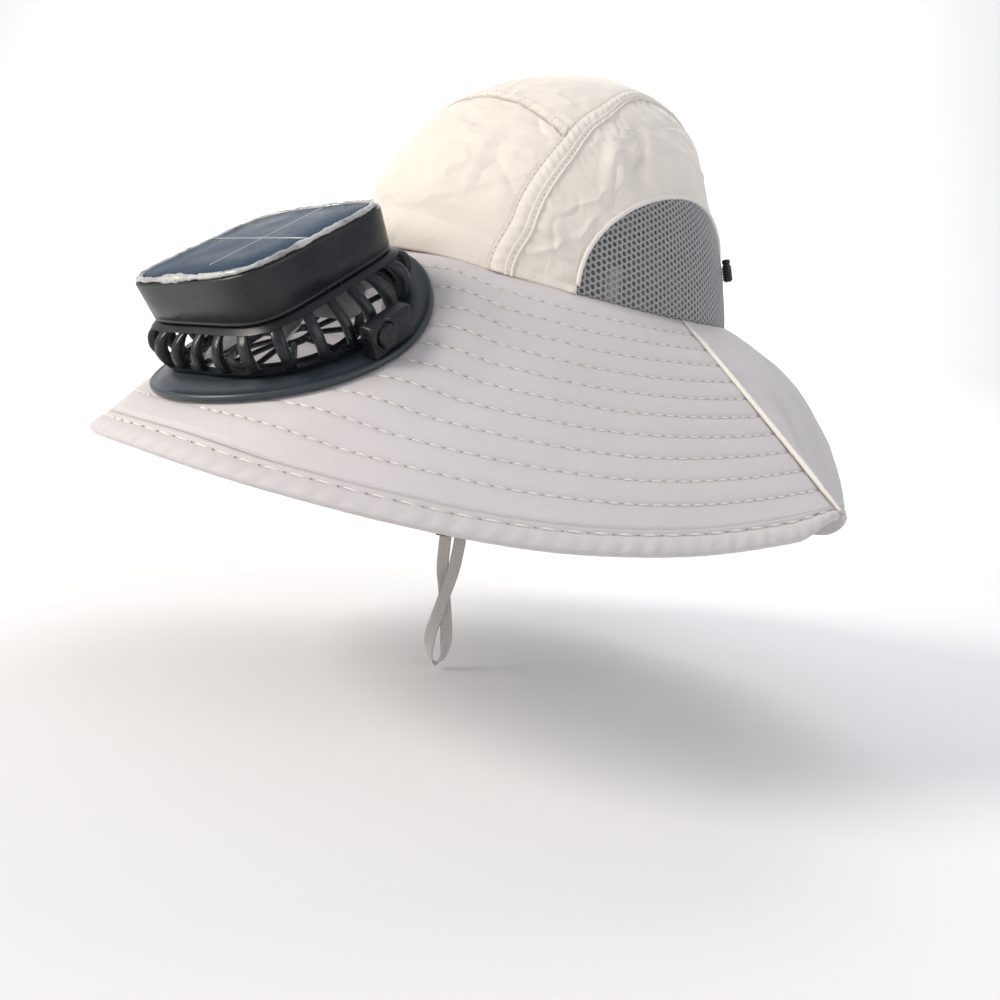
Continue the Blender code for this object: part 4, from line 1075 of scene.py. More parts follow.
def makeBrimFront():
    half = brim["seam"] - 0.2 * deg
    shares = [brim["tuck"] / brim["width"]]
    for index in range(sewing["count"]):
        middle = sewing["first"] * (index + 1)
        shares += [middle - 0.042, middle - 0.026] + [middle + step * mm / brim["width"] for step in (-1.9, -1.1, -0.5, 0.0, 0.5, 1.1, 1.9)] + [middle + 0.026]
    shares += [0.885, 0.905, 0.925]

    def place(u, v):
        angle = (2 * u - 1) * half
        share = min(v, 1 - (brim["hem"] - 1.2 * mm) / brimShape(angle)[0])
        lift, groove = brimLift(angle, share)
        return brimPoint(angle, share, lift), groove

    bm = loft(place, 250, len(shares) - 1, (0.52, 0.134), rows=shares, inside=(0, 0, -3))
    bmesh.ops.remove_doubles(bm, verts=bm.verts[:], dist=0.01 * mm)
    opening = [face for face in bm.faces if fanDistance(face.calc_center_median()) < fan["hole"] + 1 * mm]
    bmesh.ops.delete(bm, geom=opening, context="FACES")
    for vert in bm.verts:
        if vert.is_boundary and fanDistance(vert.co) < fan["hole"] + 5 * mm:
            away = vert.co - fan["place"]
            flat = fanForward * away.dot(fanForward) + fanLeft * away.dot(fanLeft)
            vert.co += flat.normalized() * (fan["hole"] + 0.5 * mm - flat.length)
    wall(finishPiece("brimFront", bm, brimCloth, ("brim_front",)), brim["cloth"])
    rows = []
    for index in range(sewing["count"]):
        share = sewing["first"] * (index + 1)
        runs = [[]]
        for step in range(401):
            angle = (2 * step / 400 - 1) * (half - 0.6 * deg)
            place = brimPoint(angle, share, brimLift(angle, share)[0] + 0.25 * mm)
            if fanDistance(place) < fan["flange"] + 1.0 * mm:
                if runs[-1]:
                    runs.append([])
                continue
            runs[-1].append((place, (brimPoint(angle, share, 5 * mm) - brimPoint(angle, share)).normalized()))
        rows += [(run, sewing["stitch"]) for run in runs if len(run) > 3]
    sewPiece("brimStitches", rows)


def cornerCut(angle):
    # where front and rear brim meet, the hem draws in
    return hem["corner"] * hump((abs(turnBetween(angle, 0)) - brim["seam"]) / hem["cornerSpan"])


def hemSection(angle, turn, width, thick, rearSide, relief, pitch, depth):
    # a rolled hem, flush with the brim at its inner edge, then a furrow for the stitches and a puckered roll
    full = brimShape(angle)[0]
    c, s = math.cos(turn), math.sin(turn)
    across = math.copysign(abs(c) ** 0.6, c)
    deep = math.copysign(abs(s) ** 0.75, s)
    share = 1 - ((width / 2) * (1 - across) + cornerCut(angle) * (0.5 + 0.5 * across)) / full
    run = turnBetween(angle, math.pi if rearSide else 0.0) * 0.215
    wave = math.sin(2 * math.pi * run / pitch + 2.6 * across + 0.9 * noise.noise(Vector((run * 90, 0, 0))))
    wave *= 0.7 + 0.6 * noise.noise(Vector((run * 40, 3, across)))
    lift = deep * (thick / 2 + depth * wave * easeStep((across + 0.6) / 0.5)) - thick / 2
    dip = 0.0
    if s > 0:
        dip = hump((across + 0.5) / 0.2) * (0.8 + 0.2 * wave)
        lift = max(lift, -0.1 * mm * easeStep((0.0 - across) / 0.5)) if across < 0 else lift
        lift += (0.3 * hump((across + 0.78) / 0.2) - 0.75 * dip + 0.55 * easeStep((across + 0.45) / 0.4)) * mm
    # the second value paints shade in the stitch furrow and in the troughs of the puckers
    return brimPoint(angle, share, lift + relief(angle, share)), max(0.35 * dip, 0.25 * max(-wave, 0.0) * easeStep((across + 0.5) / 0.5))


def makeHem():
    half = brim["seam"] - 0.2 * deg

    def skin(turn, v):
        return hemSection((2 * v - 1) * half, turn, brim["hem"], brim["hemThick"] - 0.5 * mm, False, lambda *spot: brimLift(*spot)[0], hem["pitch"], hem["pucker"])

    bm = roundTube(skin, 26, 520, (0.028, 0.65))
    finishPiece("brimHem", bm, brimCloth, ("brim_hem",))
    route = []
    for step in range(401):
        angle = (2 * step / 400 - 1) * (half - 0.8 * deg)
        share = 1 - (hem["stitchIn"] + cornerCut(angle) * 0.25) / brimShape(angle)[0]
        route.append((brimPoint(angle, share, brimLift(angle, share)[0] - 0.1 * mm), (brimPoint(angle, share, 5 * mm) - brimPoint(angle, share)).normalized()))
    sewPiece("hemStitches", [(route, hem["stitch"])])


rear = {
    "flat": 0.62,
    "stitch": {"pitch": 4.0 * mm, "thread": 3.0 * mm, "radius": 0.25 * mm, "pit": 0.3 * mm}, "stitchIn": 5.6 * mm}


def rearLift(angle, share):
    place = brimBare(angle, share)
    lift = rearRelief(angle, share) + rumple(place, 0.9 * mm, 34 * mm) * easeStep(share / 0.2)
    return lift + rumple(place, 0.25 * mm, 11 * mm)


def makeBrimRear():
    first = brim["seam"] + 0.2 * deg
    last = 2 * math.pi - first

    def place(u, v):
        angle = first + (last - first) * u
        full = brimShape(angle)[0]
        share = brim["tuck"] / full + v * (1 - (brim["rearHem"] - 0.6 * mm + brim["tuck"]) / full)
        side = min(u, 1 - u) * 0.6
        lift = rearLift(angle, share) * easeStep(side / (6 * mm)) + pucker(side, share * 0.134, 7 * mm, 0.4 * mm, 6 * mm)
        # the second value paints shade along both ends, where the rear brim meets the side piping
        return brimPoint(angle, share, lift), 0.5 * hump(side / (1.2 * mm))

    bm = loft(place, 230, 84, (0.62, 0.13), inside=(0, 0, -3))
    area = sum(face.calc_area() for face in bm.faces)
    rearBrim = finishPiece("brimRear", bm, brimCloth, ("brim_rear",))
    wall(rearBrim, brim["rearCloth"])

    def skin(turn, v):
        angle = first + (last - first) * v
        return hemSection(angle, turn, brim["rearHem"], brim["rearHemThick"] - 0.5 * mm, True, rearLift, 8 * mm, 0.15 * mm)

    bm = roundTube(skin, 18, 420, (0.018, 0.62))
    finishPiece("brimRearHem", bm, brimCloth, ("brim_rear_hem",))
    route = []
    for step in range(321):
        angle = first + 0.8 * deg + (last - first - 1.6 * deg) * step / 320
        share = 1 - (rear["stitchIn"] + cornerCut(angle) * 0.2) / brimShape(angle)[0]
        lift = rearLift(angle, share) + 0.3 * mm
        route.append((brimPoint(angle, share, lift), (brimPoint(angle, share, 5 * mm) - brimPoint(angle, share)).normalized()))
    sewPiece("rearHemStitches", [(route, rear["stitch"])])


def makeSidePiping(name, node, side):
    def skin(turn, v):
        share = 0.015 + (0.972 - cornerCut(side * brim["seam"]) / brimShape(side * brim["seam"])[0]) * v
        angle = side * brim["seam"]
        radius = 1.1 * mm * (0.5 + 0.5 * easeStep(min(v, 1 - v) / 0.16))
        middle = brimPoint(angle, share, radius + 0.1 * mm + 0.5 * mm * easeStep((share - 0.85) / 0.06))
        along = (brimPoint(angle, min(share + 0.01, 1.0)) - brimPoint(angle, share - 0.01)).normalized()
        out = (brimPoint(angle, share, 5 * mm) - brimPoint(angle, share)).normalized()
        across = along.cross(out).normalized()
        radius *= 1 + 0.05 * math.sin(v * 170 + turn)
        return middle + across * math.cos(turn) * radius * 0.95 + out * math.sin(turn) * radius

    finishPiece(name, roundTube(skin, 12, 90, (0.008, 0.134)), pipingCloth, (node,))


makeBrimFront()
makeHem()
makeBrimRear()
for label, side in (("Left", 1), ("Right", -1)):
    makeSidePiping("sidePiping" + label, "brim_side_piping_" + label.lower(), side)
print("brim made")


# fan unit
def ringPlace(turn, half, power):
    c, s = math.cos(turn), math.sin(turn)
    radius = half / (abs(c) ** power + abs(s) ** power) ** (1 / power)
    return radius * c, radius * s


def ringPiece(rows, around, place):
    # a skin round the fan's axis: rows of values, place(turn, row) gives a point
    count = len(rows) - 1
    return loft(lambda u, v: place(2 * math.pi * u, rows[min(int(v * count + 0.5), count)]), around, count, (0.3, 0.05), closed=True)


# half width, height over the flange's own top
flangeRows = ((42.3, -2.0), (42.3, -0.35), (42.6, 0.0), (44.0, 0.05), (49.0, 0.05), (49.6, 0.35), (50.0, 0.4), (53.6, 0.2), (54.2, 0.0), (56.6, -0.05), (57.1, 0.3), (57.8, 0.34), (58.4, 0.0), (58.6, -0.6), (58.55, -1.5), (58.1, -1.95), (57.0, -2.0), (42.3, -2.0))


def makeFlange():
    def place(turn, row):
        power = 2.34 if row[0] < 43 else 2.0
        forward, left = ringPlace(turn, row[0] * mm, power)
        return fanPoint(forward, left, flangeTop(forward, left) + row[1] * mm)

    bm = ringPiece(flangeRows, 180, place)
    bmesh.ops.recalc_face_normals(bm, faces=bm.faces[:])
    finishPiece("fanFlange", bm, flangeSkyTintPlastic, ("fan_flange",), sharp=50)


cage = {
    "ribs": 24,
    "share": 0.36,
    "top": 19.5 * mm,
    "deep": 4.4 * mm,
    "half": 2.0 * mm,
    "profile": ((0.0, 45.5, 2.34), (0.2, 47.6, 2.6), (0.5, 47.4, 3.2), (0.78, 44.0, 4.2), (0.93, 39.8, 5.0), (1.0, 37.0, 5.2)),
}


def cageRow(height):
    rows = cage["profile"]
    for first, second in zip(rows, rows[1:]):
        if height <= second[0]:
            share = (height - first[0]) / (second[0] - first[0])
            return first[1] + (second[1] - first[1]) * share, first[2] + (second[2] - first[2]) * share
    return rows[-1][1:]


def cageHalf(height):
    # the same outline with its corners eased
    spread = [cageRow(min(max(height + step, 0.0), 1.0)) for step in (-0.06, -0.03, 0.0, 0.03, 0.06)]
    return sum(row[0] for row in spread) / 5 * mm, sum(row[1] for row in spread) / 5


def cagePoint(turn, height, inward, lift=0.0):
    half, power = cageHalf(height)
    forward, left = ringPlace(turn, half - inward, power)
    foot = flangeTop(*ringPlace(turn, cage["profile"][0][1] * mm, 2.34)) + 0.3 * mm
    return fanPoint(forward, left, foot + (cage["top"] - foot) * height + lift)


def makeCage():
    bm = bmesh.new()
    for index in range(cage["ribs"]):
        middle = 2 * math.pi * (index + cage["share"] / 2) / cage["ribs"]

        def place(turn, v, middle=middle):
            height = 0.02 + 0.96 * v
            c, s = math.cos(turn), math.sin(turn)
            half = cageHalf(height)[0]
            aside = math.copysign(abs(c) ** 0.6, c) * cage["half"] / half
            deep = cage["deep"] * (0.75 + 0.25 * math.sin(math.pi * v))
            inward = deep / 2 - math.copysign(abs(s) ** 0.6, s) * deep / 2
            return cagePoint(middle + aside, height, inward)

        one = roundTube(place, 14, 16, (0.012, 0.02))
        mesh = bpy.data.meshes.new("rib")
        one.to_mesh(mesh)
        one.free()
        bm.from_mesh(mesh)
        bpy.data.meshes.remove(mesh)
    for heights, inner, outer in (((0.0, 0.11), 3.4, 0.35), ((0.90, 1.0), 3.8, 0.35)):
        low, high = heights
        rows = ((low, inner), (low, 0.0), (low, -outer), (low + 0.02, -outer - 0.1), (high - 0.02, -outer - 0.1), (high, -outer), (high, 0.2), (high, inner), (low, inner))
        one = ringPiece(rows, 144, lambda turn, row: cagePoint(turn, row[0], row[1] * mm))
        bmesh.ops.recalc_face_normals(one, faces=one.faces[:])
        mesh = bpy.data.meshes.new("ring")
        one.to_mesh(mesh)
        one.free()
        bm.from_mesh(mesh)
        bpy.data.meshes.remove(mesh)
    finishPiece("fanCage", bm, blackPlastic, ("fan_cage",), sharp=45)


makeFlange()
makeCage()

# half width, height over the fan's middle; the top leans, so its rows rise towards the left front
boxRows = (
    (0.0, 19.8), (30.0, 19.8), (36.6, 19.8), (37.9, 19.95), (38.45, 20.4), (38.5, 20.9), (38.35, 21.2), (38.4, 21.5), (38.6, 21.7),
    (39.0, 28.5), (39.38, 34.7), (39.35, 35.3), (39.05, 35.7), (38.6, 35.9), (36.2, 35.9), (36.0, 35.6), (0.0, 35.6),
)
boxTop = {"bottom": 21.7, "height": 35.9, "rises": (0.027, 0.044)}


def slabPlace(turn, row, power=5.0):
    forward, left = ringPlace(turn, max(row[0], 1e-4) * mm, power)
    share = min(max((row[1] - boxTop["bottom"]) / (boxTop["height"] - boxTop["bottom"]), 0.0), 1.0)
    rise = (boxTop["rises"][0] * forward + boxTop["rises"][1] * left) * share
    return fanPoint(forward, left, row[1] * mm + rise)


def makeSolarBox():
    bm = ringPiece(boxRows, 200, slabPlace)
    bmesh.ops.recalc_face_normals(bm, faces=bm.faces[:])
    finishPiece("solarBox", bm, blackPlastic, ("solar_box",), sharp=60)


def makeSolarCell():
    material, tree, inputs = newMaterial("solarCell", Coat_Weight=0.05, Coat_Roughness=0.08, Specular_IOR_Level=0.02)
    place = addNode(tree, "TexCoord").outputs["Object"]
    turn = fanMatrix.to_3x3().inverted().to_euler()
    lay = addNode(tree, "Mapping", {"Vector": place, "Rotation": tuple(turn)})
    split = addNode(tree, "SeparateXYZ", {0: lay.outputs[0]})
    fingers = sums(tree, "SINE", sums(tree, "MULTIPLY", split.outputs[1], 2 * math.pi / 0.0021))
    finger = addNode(tree, "MapRange", {0: fingers, 1: 0.9, 2: 0.99})
    slow = placeGroup(tree, mottleGroup, {"Vector": place, "Scale": 45.0, "Bite": 2.6})
    fine = placeGroup(tree, mottleGroup, {"Vector": place, "Scale": 260.0, "Bite": 2.0})
    tone = blendColour(tree, slow["Mask"], (0.006, 0.021, 0.048), (0.016, 0.044, 0.084))
    tone = blendColour(tree, sums(tree, "MULTIPLY", finger.outputs[0], 0.14), tone, (0.13, 0.18, 0.23))
    tone = blendColour(tree, sums(tree, "MULTIPLY", fine["Mask"], 0.09), tone, (0.16, 0.20, 0.23))
    tree.links.new(tone, inputs["Base Color"])
    spread = addNode(tree, "MapRange", {0: slow["Mask"], 3: 0.16, 4: 0.34})
    tree.links.new(spread.outputs[0], inputs["Roughness"])
    bumpInto(tree, inputs, slow["Mask"], 0.00015, 0.6)
    return material


def makeMetal(name, colour, rough):
    material, tree, inputs = newMaterial(name, Metallic=1.0)
    place = addNode(tree, "TexCoord").outputs["Object"]
    pits = placeGroup(tree, grainGroup, {"Vector": place, "Grain": 900.0, "Scratch": 0.6})
    tree.links.new(blendColour(tree, pits["Mask"], colour, scaled(colour, 0.7)), inputs["Base Color"])
    spread = addNode(tree, "MapRange", {0: pits["Mask"], 3: rough, 4: rough + 0.2})
    tree.links.new(spread.outputs[0], inputs["Roughness"])
    bumpInto(tree, inputs, pits["Height"], 0.00002)
    return material


def makeSealantMaterial():
    material, tree, inputs = newMaterial("sealantBead", Coat_Weight=0.8, Coat_Roughness=0.12, Subsurface_Weight=0.15, Subsurface_Scale=0.002)
    place = addNode(tree, "TexCoord").outputs["Object"]
    slow = placeGroup(tree, mottleGroup, {"Vector": place, "Scale": 90.0, "Bite": 4.0})
    fine = placeGroup(tree, mottleGroup, {"Vector": place, "Scale": 500.0, "Bite": 3.0})
    tone = blendColour(tree, slow["Mask"], (0.47, 0.48, 0.46), (0.13, 0.13, 0.13))
    tone = blendColour(tree, sums(tree, "MULTIPLY", fine["Mask"], 0.5), tone, (0.58, 0.60, 0.59))
    tree.links.new(tone, inputs["Base Color"])
    spread = addNode(tree, "MapRange", {0: fine["Mask"], 3: 0.2, 4: 0.5})
    tree.links.new(spread.outputs[0], inputs["Roughness"])
    bumpInto(tree, inputs, fine["Mask"], 0.0003, 0.8)
    return material


solarCell = makeSolarCell()
busMetal = makeMetal("busMetal", (0.72, 0.73, 0.72), 0.3)
motorSteel = makeMetal("motorSteel", (0.55, 0.55, 0.56), 0.3)
sealantBead = makeSealantMaterial()

# half width, height of the panel's rows, then both ends of the busbars, forward and left, in mm
panelRows = ((0.0, 36.2), (35.4, 36.2), (35.9, 36.4), (36.0, 36.8), (35.8, 37.25), (35.4, 37.4), (20.0, 37.4), (0.0, 37.4))
busbars = (((27.0, 5.3), (-34.5, 2.1)), ((-6.5, -34.5), (5.2, 34.5)))


def makePanel():
    bm = ringPiece(panelRows, 160, slabPlace)
    bmesh.ops.recalc_face_normals(bm, faces=bm.faces[:])
    finishPiece("solarPanel", bm, solarCell, ("solar_panel",), sharp=60)
    bm = bmesh.new()
    rise = boxTop["rises"]
    lean = Matrix(((1, 0, -rise[0]), (0, 1, -rise[1]), (rise[0], rise[1], 1))).to_quaternion()
    for start, end in busbars:
        run = Vector(end) - Vector(start)
        forward, left = (Vector(start) + Vector(end)) / 2
        middle = Vector((forward, left, 37.43 + rise[0] * forward + rise[1] * left)) * mm
        size = Vector((run.length, 0.7, 0.12)) * mm
        turn = lean @ Matrix.Rotation(math.atan2(run.y, run.x), 3, "Z").to_quaternion()
        shape = fanMatrix @ Matrix.LocRotScale(middle, turn, size)
        made = bmesh.ops.create_cube(bm, size=1.0, matrix=shape)["verts"]
        edges = {edge for vert in made for edge in vert.link_edges}
        bmesh.ops.bevel(bm, geom=list(edges), offset=0.04 * mm, segments=1, profile=0.5, affect="EDGES", material=-1)
    finishPiece("panelBusbars", bm, busMetal)


sealant = {"middle": 37.55 * mm, "radius": 1.3 * mm, "height": 36.85 * mm, "lump": 0.5 * mm, "blob": 1.0 * mm}


def makeSealant():
    def place(u, v):
        around, turn = 2 * math.pi * u, 2 * math.pi * v
        forward, left = ringPlace(around, sealant["middle"], 5.0)
        spot = Vector((forward, left, 0)) / (4.5 * mm)
        lumps = sealant["lump"] * (noise.noise(spot) + 0.6 * noise.noise(spot * 2.6))
        if forward > 0:
            lumps += sealant["blob"] * hump((left + 3 * mm) / (10 * mm)) * (0.7 + noise.noise(spot * 2))
        radius = sealant["radius"] + lumps + 0.15 * mm * noise.noise(Vector((forward, left, 3 * mm * math.sin(turn))) / (1.1 * mm))
        shape = Vector((forward, left, 0)).normalized() * math.cos(turn) * radius * 1.1
        shape += Vector((0, 0, math.sin(turn) * radius * 0.75))
        rise = boxTop["rises"][0] * forward + boxTop["rises"][1] * left
        return fanMatrix @ (Vector((forward, left, sealant["height"] + rise)) + shape)

    bm = loft(place, 420, 14, (0.28, 0.01), closed=True)
    bmesh.ops.recalc_face_normals(bm, faces=bm.faces[:])
    finishPiece("panelSealant", bm, sealantBead, ("panel_sealant",))


makeSolarBox()
makePanel()
makeSealant()
print("solar box made")

# the grille below the brim: rows of radius and height over its own top, in mm
guardRings = (
    ((6.0, -2.0), (6.0, -0.3), (6.3, 0.0), (8.7, 0.0), (9.0, -0.3), (9.0, -1.9), (8.7, -2.2), (6.3, -2.2), (6.0, -2.0)),
    ((25.3, -2.0), (25.3, -0.3), (25.6, 0.0), (28.7, 0.0), (29.0, -0.3), (29.0, -1.9), (28.7, -2.2), (25.6, -2.2), (25.3, -2.0)),
    ((41.9, -1.9), (41.9, -0.3), (42.2, 0.0), (51.4, 0.0), (52.0, -0.5), (52.0, -1.6), (51.4, -2.2), (43.6, -2.2), (43.0, -2.9), (42.3, -2.9), (41.9, -1.9)),
)
guard = {"rays": 10, "half": 1.5 * mm, "under": fan["wall"] + brim["cloth"] + 1.8 * mm}


def makeGuard():
    whole = bmesh.new()

    def keep(one):
        bmesh.ops.recalc_face_normals(one, faces=one.faces[:])
        mesh = bpy.data.meshes.new("guardPart")
        one.to_mesh(mesh)
        one.free()
        whole.from_mesh(mesh)
        bpy.data.meshes.remove(mesh)

    def place(turn, row):
        forward, left = row[0] * mm * math.cos(turn), row[0] * mm * math.sin(turn)
        return fanPoint(forward, left, flangeTop(forward, left) - guard["under"] + row[1] * mm)

    for rows in guardRings:
        keep(ringPiece(rows, 120, place))
    for index in range(guard["rays"]):
        aim = 2 * math.pi * (index + 0.25) / guard["rays"]

        def skin(turn, v, aim=aim):
            radius = (8.0 + 35.0 * v) * mm
            across = math.cos(turn) * guard["half"]
            deep = -1.1 * mm + math.sin(turn) * 1.05 * mm
            forward = radius * math.cos(aim) - across * math.sin(aim)
            left = radius * math.sin(aim) + across * math.cos(aim)
            return fanPoint(forward, left, flangeTop(forward, left) - guard["under"] + deep)

        keep(roundTube(skin, 12, 14, (0.008, 0.035)))
    finishPiece("outletGuard", whole, blackPlastic, ("fan_outlet_guard",), sharp=45)


def spinShape(rows, matrix, segments=48):
    # a turned shape: rows of radius and height in mm, spun about the Z axis of the matrix
    bm = bmesh.new()
    verts = [bm.verts.new((radius * mm, 0, height * mm)) for radius, height in rows]
    edges = [bm.edges.new(pair) for pair in zip(verts, verts[1:])]
    bmesh.ops.spin(bm, geom=verts + edges, cent=(0, 0, 0), axis=(0, 0, 1), angle=2 * math.pi, steps=segments, use_merge=True)
    bmesh.ops.remove_doubles(bm, verts=bm.verts[:], dist=0.003 * mm)
    bmesh.ops.recalc_face_normals(bm, faces=bm.faces[:])
    bm.transform(matrix)
    return bm


motorRows = ((0, 8.4), (1.3, 8.4), (1.5, 8.6), (1.5, 16.4), (3.4, 16.4), (3.5, 16.7), (9.2, 16.8), (9.8, 17.1), (10.0, 17.6), (10.0, 19.5), (0, 19.5))
hubRows = ((1.8, 4.6), (11.0, 4.6), (11.7, 4.9), (12.0, 5.6), (12.0, 14.6), (11.7, 15.6), (10.8, 16.05), (8.4, 16.1), (8.0, 15.7), (4.6, 15.7), (4.2, 16.1), (1.8, 16.1), (1.8, 4.6))
rotor = {"blades": 7, "radius": 38.5, "root": 10.0, "bottom": 4.6, "top": 14.0, "thick": 1.4, "chords": (8.0, 17.0), "tilts": (52.0, 32.0)}


def makeRotor():
    finishPiece("fanMotor", spinShape(motorRows, fanMatrix), motorSteel, ("fan_motor",), sharp=35)
    bm = spinShape(hubRows, fanMatrix, 72)
    middle = (rotor["bottom"] + rotor["top"]) / 2
    for index in range(rotor["blades"]):
        spin = Matrix.Rotation(2 * math.pi * index / rotor["blades"], 4, "Z")

        def skin(turn, v, spin=spin):
            span = min(v * 1.0, 1.0)
            tip = 1 - 0.3 * easeStep((v - 0.86) / 0.14)
            chord = (rotor["chords"][0] + (rotor["chords"][1] - rotor["chords"][0]) * span) * tip
            tilt = (rotor["tilts"][0] + (rotor["tilts"][1] - rotor["tilts"][0]) * span) * deg
            c, s = math.cos(turn), math.sin(turn)
            across = c * chord / 2
            deep = math.copysign(abs(s) ** 0.8, s) * rotor["thick"] / 2 * (1 - 0.45 * abs(c) ** 3) + 0.8 * (1 - c * c)
            reach = rotor["root"] + (rotor["radius"] - rotor["root"]) * span
            reach = math.sqrt(max(reach * reach - (across * math.cos(tilt)) ** 2, 4.0)) if v > 0.9 else reach
            place = Vector((reach, across * math.cos(tilt), middle + across * math.sin(tilt) + deep * math.cos(tilt))) * mm
            return fanMatrix @ (spin @ place)

        one = roundTube(skin, 20, 18, (0.03, 0.03))
        mesh = bpy.data.meshes.new("blade")
        one.to_mesh(mesh)
        one.free()
        bm.from_mesh(mesh)
        bpy.data.meshes.remove(mesh)
    finishPiece("fanRotor", bm, bladePlastic, ("fan_rotor",), body="rotor", sharp=40)


makeGuard()
makeRotor()
print("fan made")

switch = {"length": 22 * mm, "depth": 7 * mm, "height": 12 * mm, "forward": 0.5 * mm, "left": 53.2 * mm, "radius": 4.3, "buttonForward": 5 * mm, "share": 0.6, "proud": 2.4, "seat": 1.8}


def makeSwitch():
    step = 1 * mm
    fall = flangeTop(switch["forward"], switch["left"] - step) - flangeTop(switch["forward"], switch["left"] + step)
    lean = math.atan2(fall, 2 * step)
    outwards = fanLeft * math.cos(lean) - fanAxis * math.sin(lean)
    up = fanAxis * math.cos(lean) + fanLeft * math.sin(lean)
    place = Matrix((fanForward, outwards, up)).transposed().to_4x4()
    place.translation = fanPoint(switch["forward"], switch["left"], flangeTop(switch["forward"], switch["left"]) + 0.9 * mm)
    spot = Matrix.Translation((switch["buttonForward"], switch["depth"] / 2, switch["height"] * switch["share"]))
    spot = place @ spot @ Matrix.Rotation(-math.pi / 2, 4, "X")
    bm = bmesh.new()
    size = Matrix.Diagonal((switch["length"], switch["depth"], switch["height"], 1))
    bmesh.ops.create_cube(bm, size=1.0, matrix=Matrix.Translation((0, 0, switch["height"] / 2)) @ size)
    upright = [edge for edge in bm.edges if max(vert.co.z for vert in edge.verts) > switch["height"] / 2]
    bmesh.ops.bevel(bm, geom=upright, offset=1.2 * mm, segments=4, profile=0.5, affect="EDGES", material=-1)
    bm.transform(place)
    housing = finishPiece("switchHousing", bm, blackPlastic, ("switch_housing",), sharp=40)
    bm = spinShape(((0, -2.8), (4.6, -2.8), (4.6, 4.0), (0, 4.0)), spot, 40)
    mesh = bpy.data.meshes.new("buttonWell")
    bm.to_mesh(mesh)
    bm.free()
    well = bpy.data.objects.new("buttonWell", mesh)
    bpy.context.scene.collection.objects.link(well)
    hole = housing.modifiers.new("well", "BOOLEAN")
    hole.operation = "DIFFERENCE"
    hole.solver = "EXACT"
    hole.object = well
    bpy.context.view_layer.objects.active = housing
    housing.select_set(True)
    bpy.ops.object.modifier_apply(modifier="well")
    housing.select_set(False)
    bpy.data.objects.remove(well, do_unlink=True)
    rows = ((4.9, 0.02), (4.95, 0.5), (5.3, 0.75), (5.9, 0.6), (6.1, 0.02), (4.9, 0.02))
    finishPiece("switchCollar", spinShape(rows, spot, 48), blackPlastic, sharp=40)
    rows = ((0, -1.5), (4.3, -1.5), (4.3, 1.7), (4.1, 2.2), (3.6, 2.4), (2.6, 2.35), (2.2, 2.1), (0, 2.05))
    finishPiece("switchButton", spinShape(rows, spot, 48), blackPlastic, ("switch_button",), body="button", sharp=35)


makeSwitch()

toggle = {"angle": 119 * deg, "share": 0.23, "length": 11.0, "radius": 2.5}


def makeToggle():
    foot = crownPoint(toggle["angle"], toggle["share"], toggle["radius"] * mm)
    above = crownPoint(toggle["angle"], toggle["share"] + 0.05, toggle["radius"] * mm)
    up = (above - foot).normalized()
    turn = up.to_track_quat("Z", "Y").to_matrix().to_4x4()
    turn.translation = foot
    half = toggle["length"] / 2
    rows = [(0, -half), (1.5, -half), (1.9, -half + 0.4)]
    for index in range(5):
        low = -half + 1.0 + index * 1.3
        rows += [(2.25, low), (2.45, low + 0.2), (2.45, low + 0.6), (2.2, low + 0.8), (2.15, low + 1.05)]
    rows += [(2.2, 2.2), (2.1, 2.6), (1.7, 2.8), (1.7, 3.5), (2.0, 3.7), (2.0, half - 0.5), (1.6, half), (0, half)]
    finishPiece("sizeToggle", spinShape(rows, turn, 40), blackPlastic, ("size_toggle",), sharp=35)


makeToggle()
nodes["strap_slider"].data.materials.clear()
nodes["strap_slider"].data.materials.append(blackPlastic)
print("switch and toggle made")


# floor, light
studio = {"floor": cadBox[0].z - 2 * mm, "tone": (0.86, 0.86, 0.86), "start": 0.7, "front": 3.0, "sweep": 2.6, "run": 9.5, "wide": 12.0}


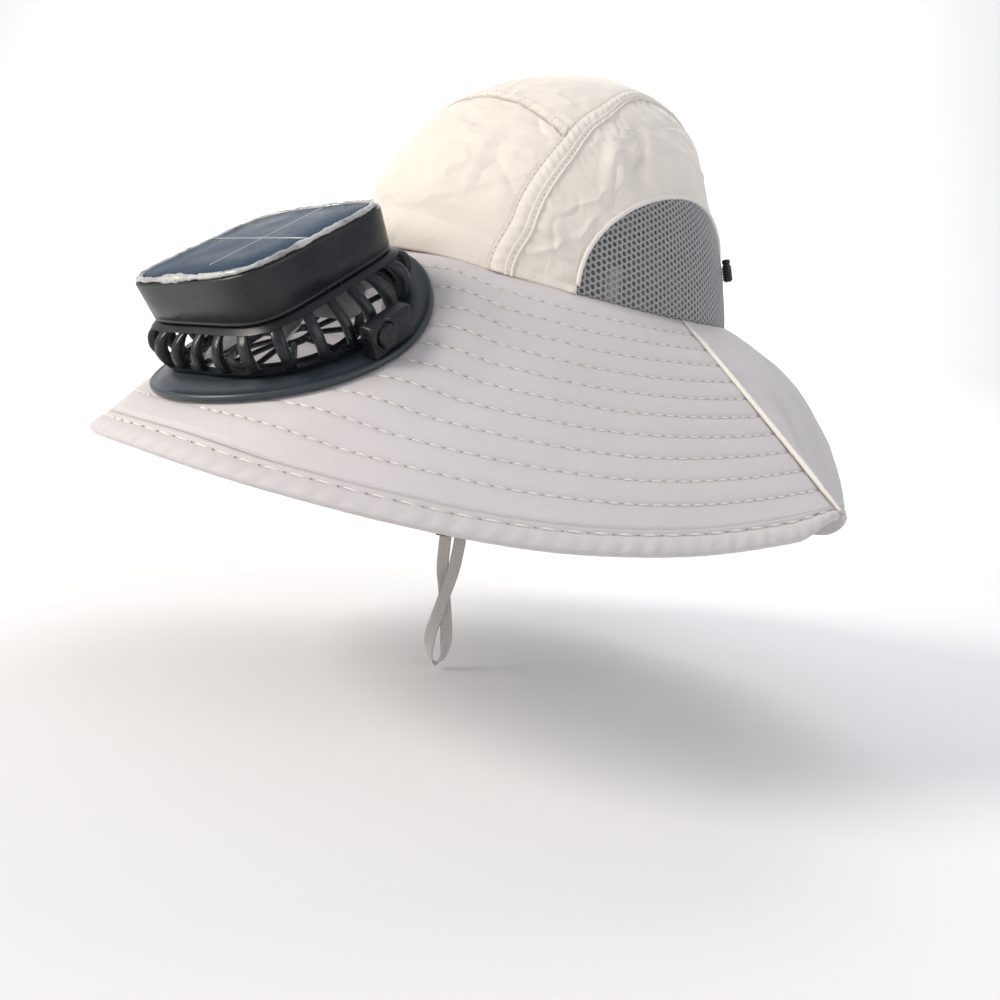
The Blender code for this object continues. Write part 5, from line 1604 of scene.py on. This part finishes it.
def makeStudio():
    material, tree, inputs = newMaterial("studioFloor", Roughness=0.9)
    place = addNode(tree, "TexCoord").outputs["Object"]
    slow = placeGroup(tree, mottleGroup, {"Vector": place, "Scale": 3.0})
    tree.links.new(blendColour(tree, slow["Mask"], studio["tone"], scaled(studio["tone"], 0.985)), inputs["Base Color"])
    def place(u, v):
        # flat under the hat, then a wide sweep up to the wall behind it
        along = v * studio["run"] - studio["front"]
        bend = min(max(along / studio["sweep"], 0.0), math.pi / 2)
        away = min(along, 0.0) + studio["sweep"] * math.sin(bend)
        height = studio["sweep"] * (1 - math.cos(bend)) + max(along - studio["sweep"] * math.pi / 2, 0.0)
        return Vector(((u - 0.5) * studio["wide"], away + studio["start"], height))

    bm = loft(place, 4, 96, (12.0, 12.0))
    aim = -Vector(view["back"])
    turn = Matrix.Rotation(math.atan2(aim.y, aim.x) - math.pi / 2, 4, "Z")
    bm.transform(Matrix.Translation((0, 0, studio["floor"])) @ turn)
    mesh = bpy.data.meshes.new("studioFloor")
    bm.to_mesh(mesh)
    bm.free()
    mesh.polygons.foreach_set("use_smooth", [True] * len(mesh.polygons))
    mesh.materials.append(material)
    floor = bpy.data.objects.new("studioFloor", mesh)
    bpy.context.scene.collection.objects.link(floor)
    world = bpy.data.worlds.new("studioLight")
    bpy.context.scene.world = world
    world.use_nodes = True
    sky = world.node_tree.nodes["Background"]
    sky.inputs[0].default_value = (0.92, 0.94, 1.0, 1.0)
    sky.inputs[1].default_value = 0.52
    right, up, back = (Vector(view[key]) for key in ("right", "up", "back"))
    centre = Vector((0, -0.04, -0.02))
    lamps = (
        ("keyLight", -right * 1.6 + up * 1.15 + back * 0.85, 1.0, 40, (1.0, 0.94, 0.85)),
        ("fillLight", right * 1.5 + up * 0.6 + back * 1.2, 1.6, 9, (0.95, 0.96, 1.0)),
        ("wallLight", up * 1.9 - back * 0.9, 1.6, 60, (1.0, 1.0, 1.0)),
        ("backLight", right * 0.6 + up * 1.3 - back * 1.5, 1.2, 14, (1.0, 1.0, 1.0)),
    )
    for name, away, size, power, colour in lamps:
        light = bpy.data.lights.new(name, "AREA")
        light.shape = "DISK"
        light.size = size
        light.energy = power
        light.color = colour
        lamp = bpy.data.objects.new(name, light)
        bpy.context.scene.collection.objects.link(lamp)
        aim = back if name == "wallLight" else away
        lamp.matrix_world = Matrix.LocRotScale(centre + away, aim.to_track_quat("Z", "Y"), (1, 1, 1))


makeStudio()
print("studio made")
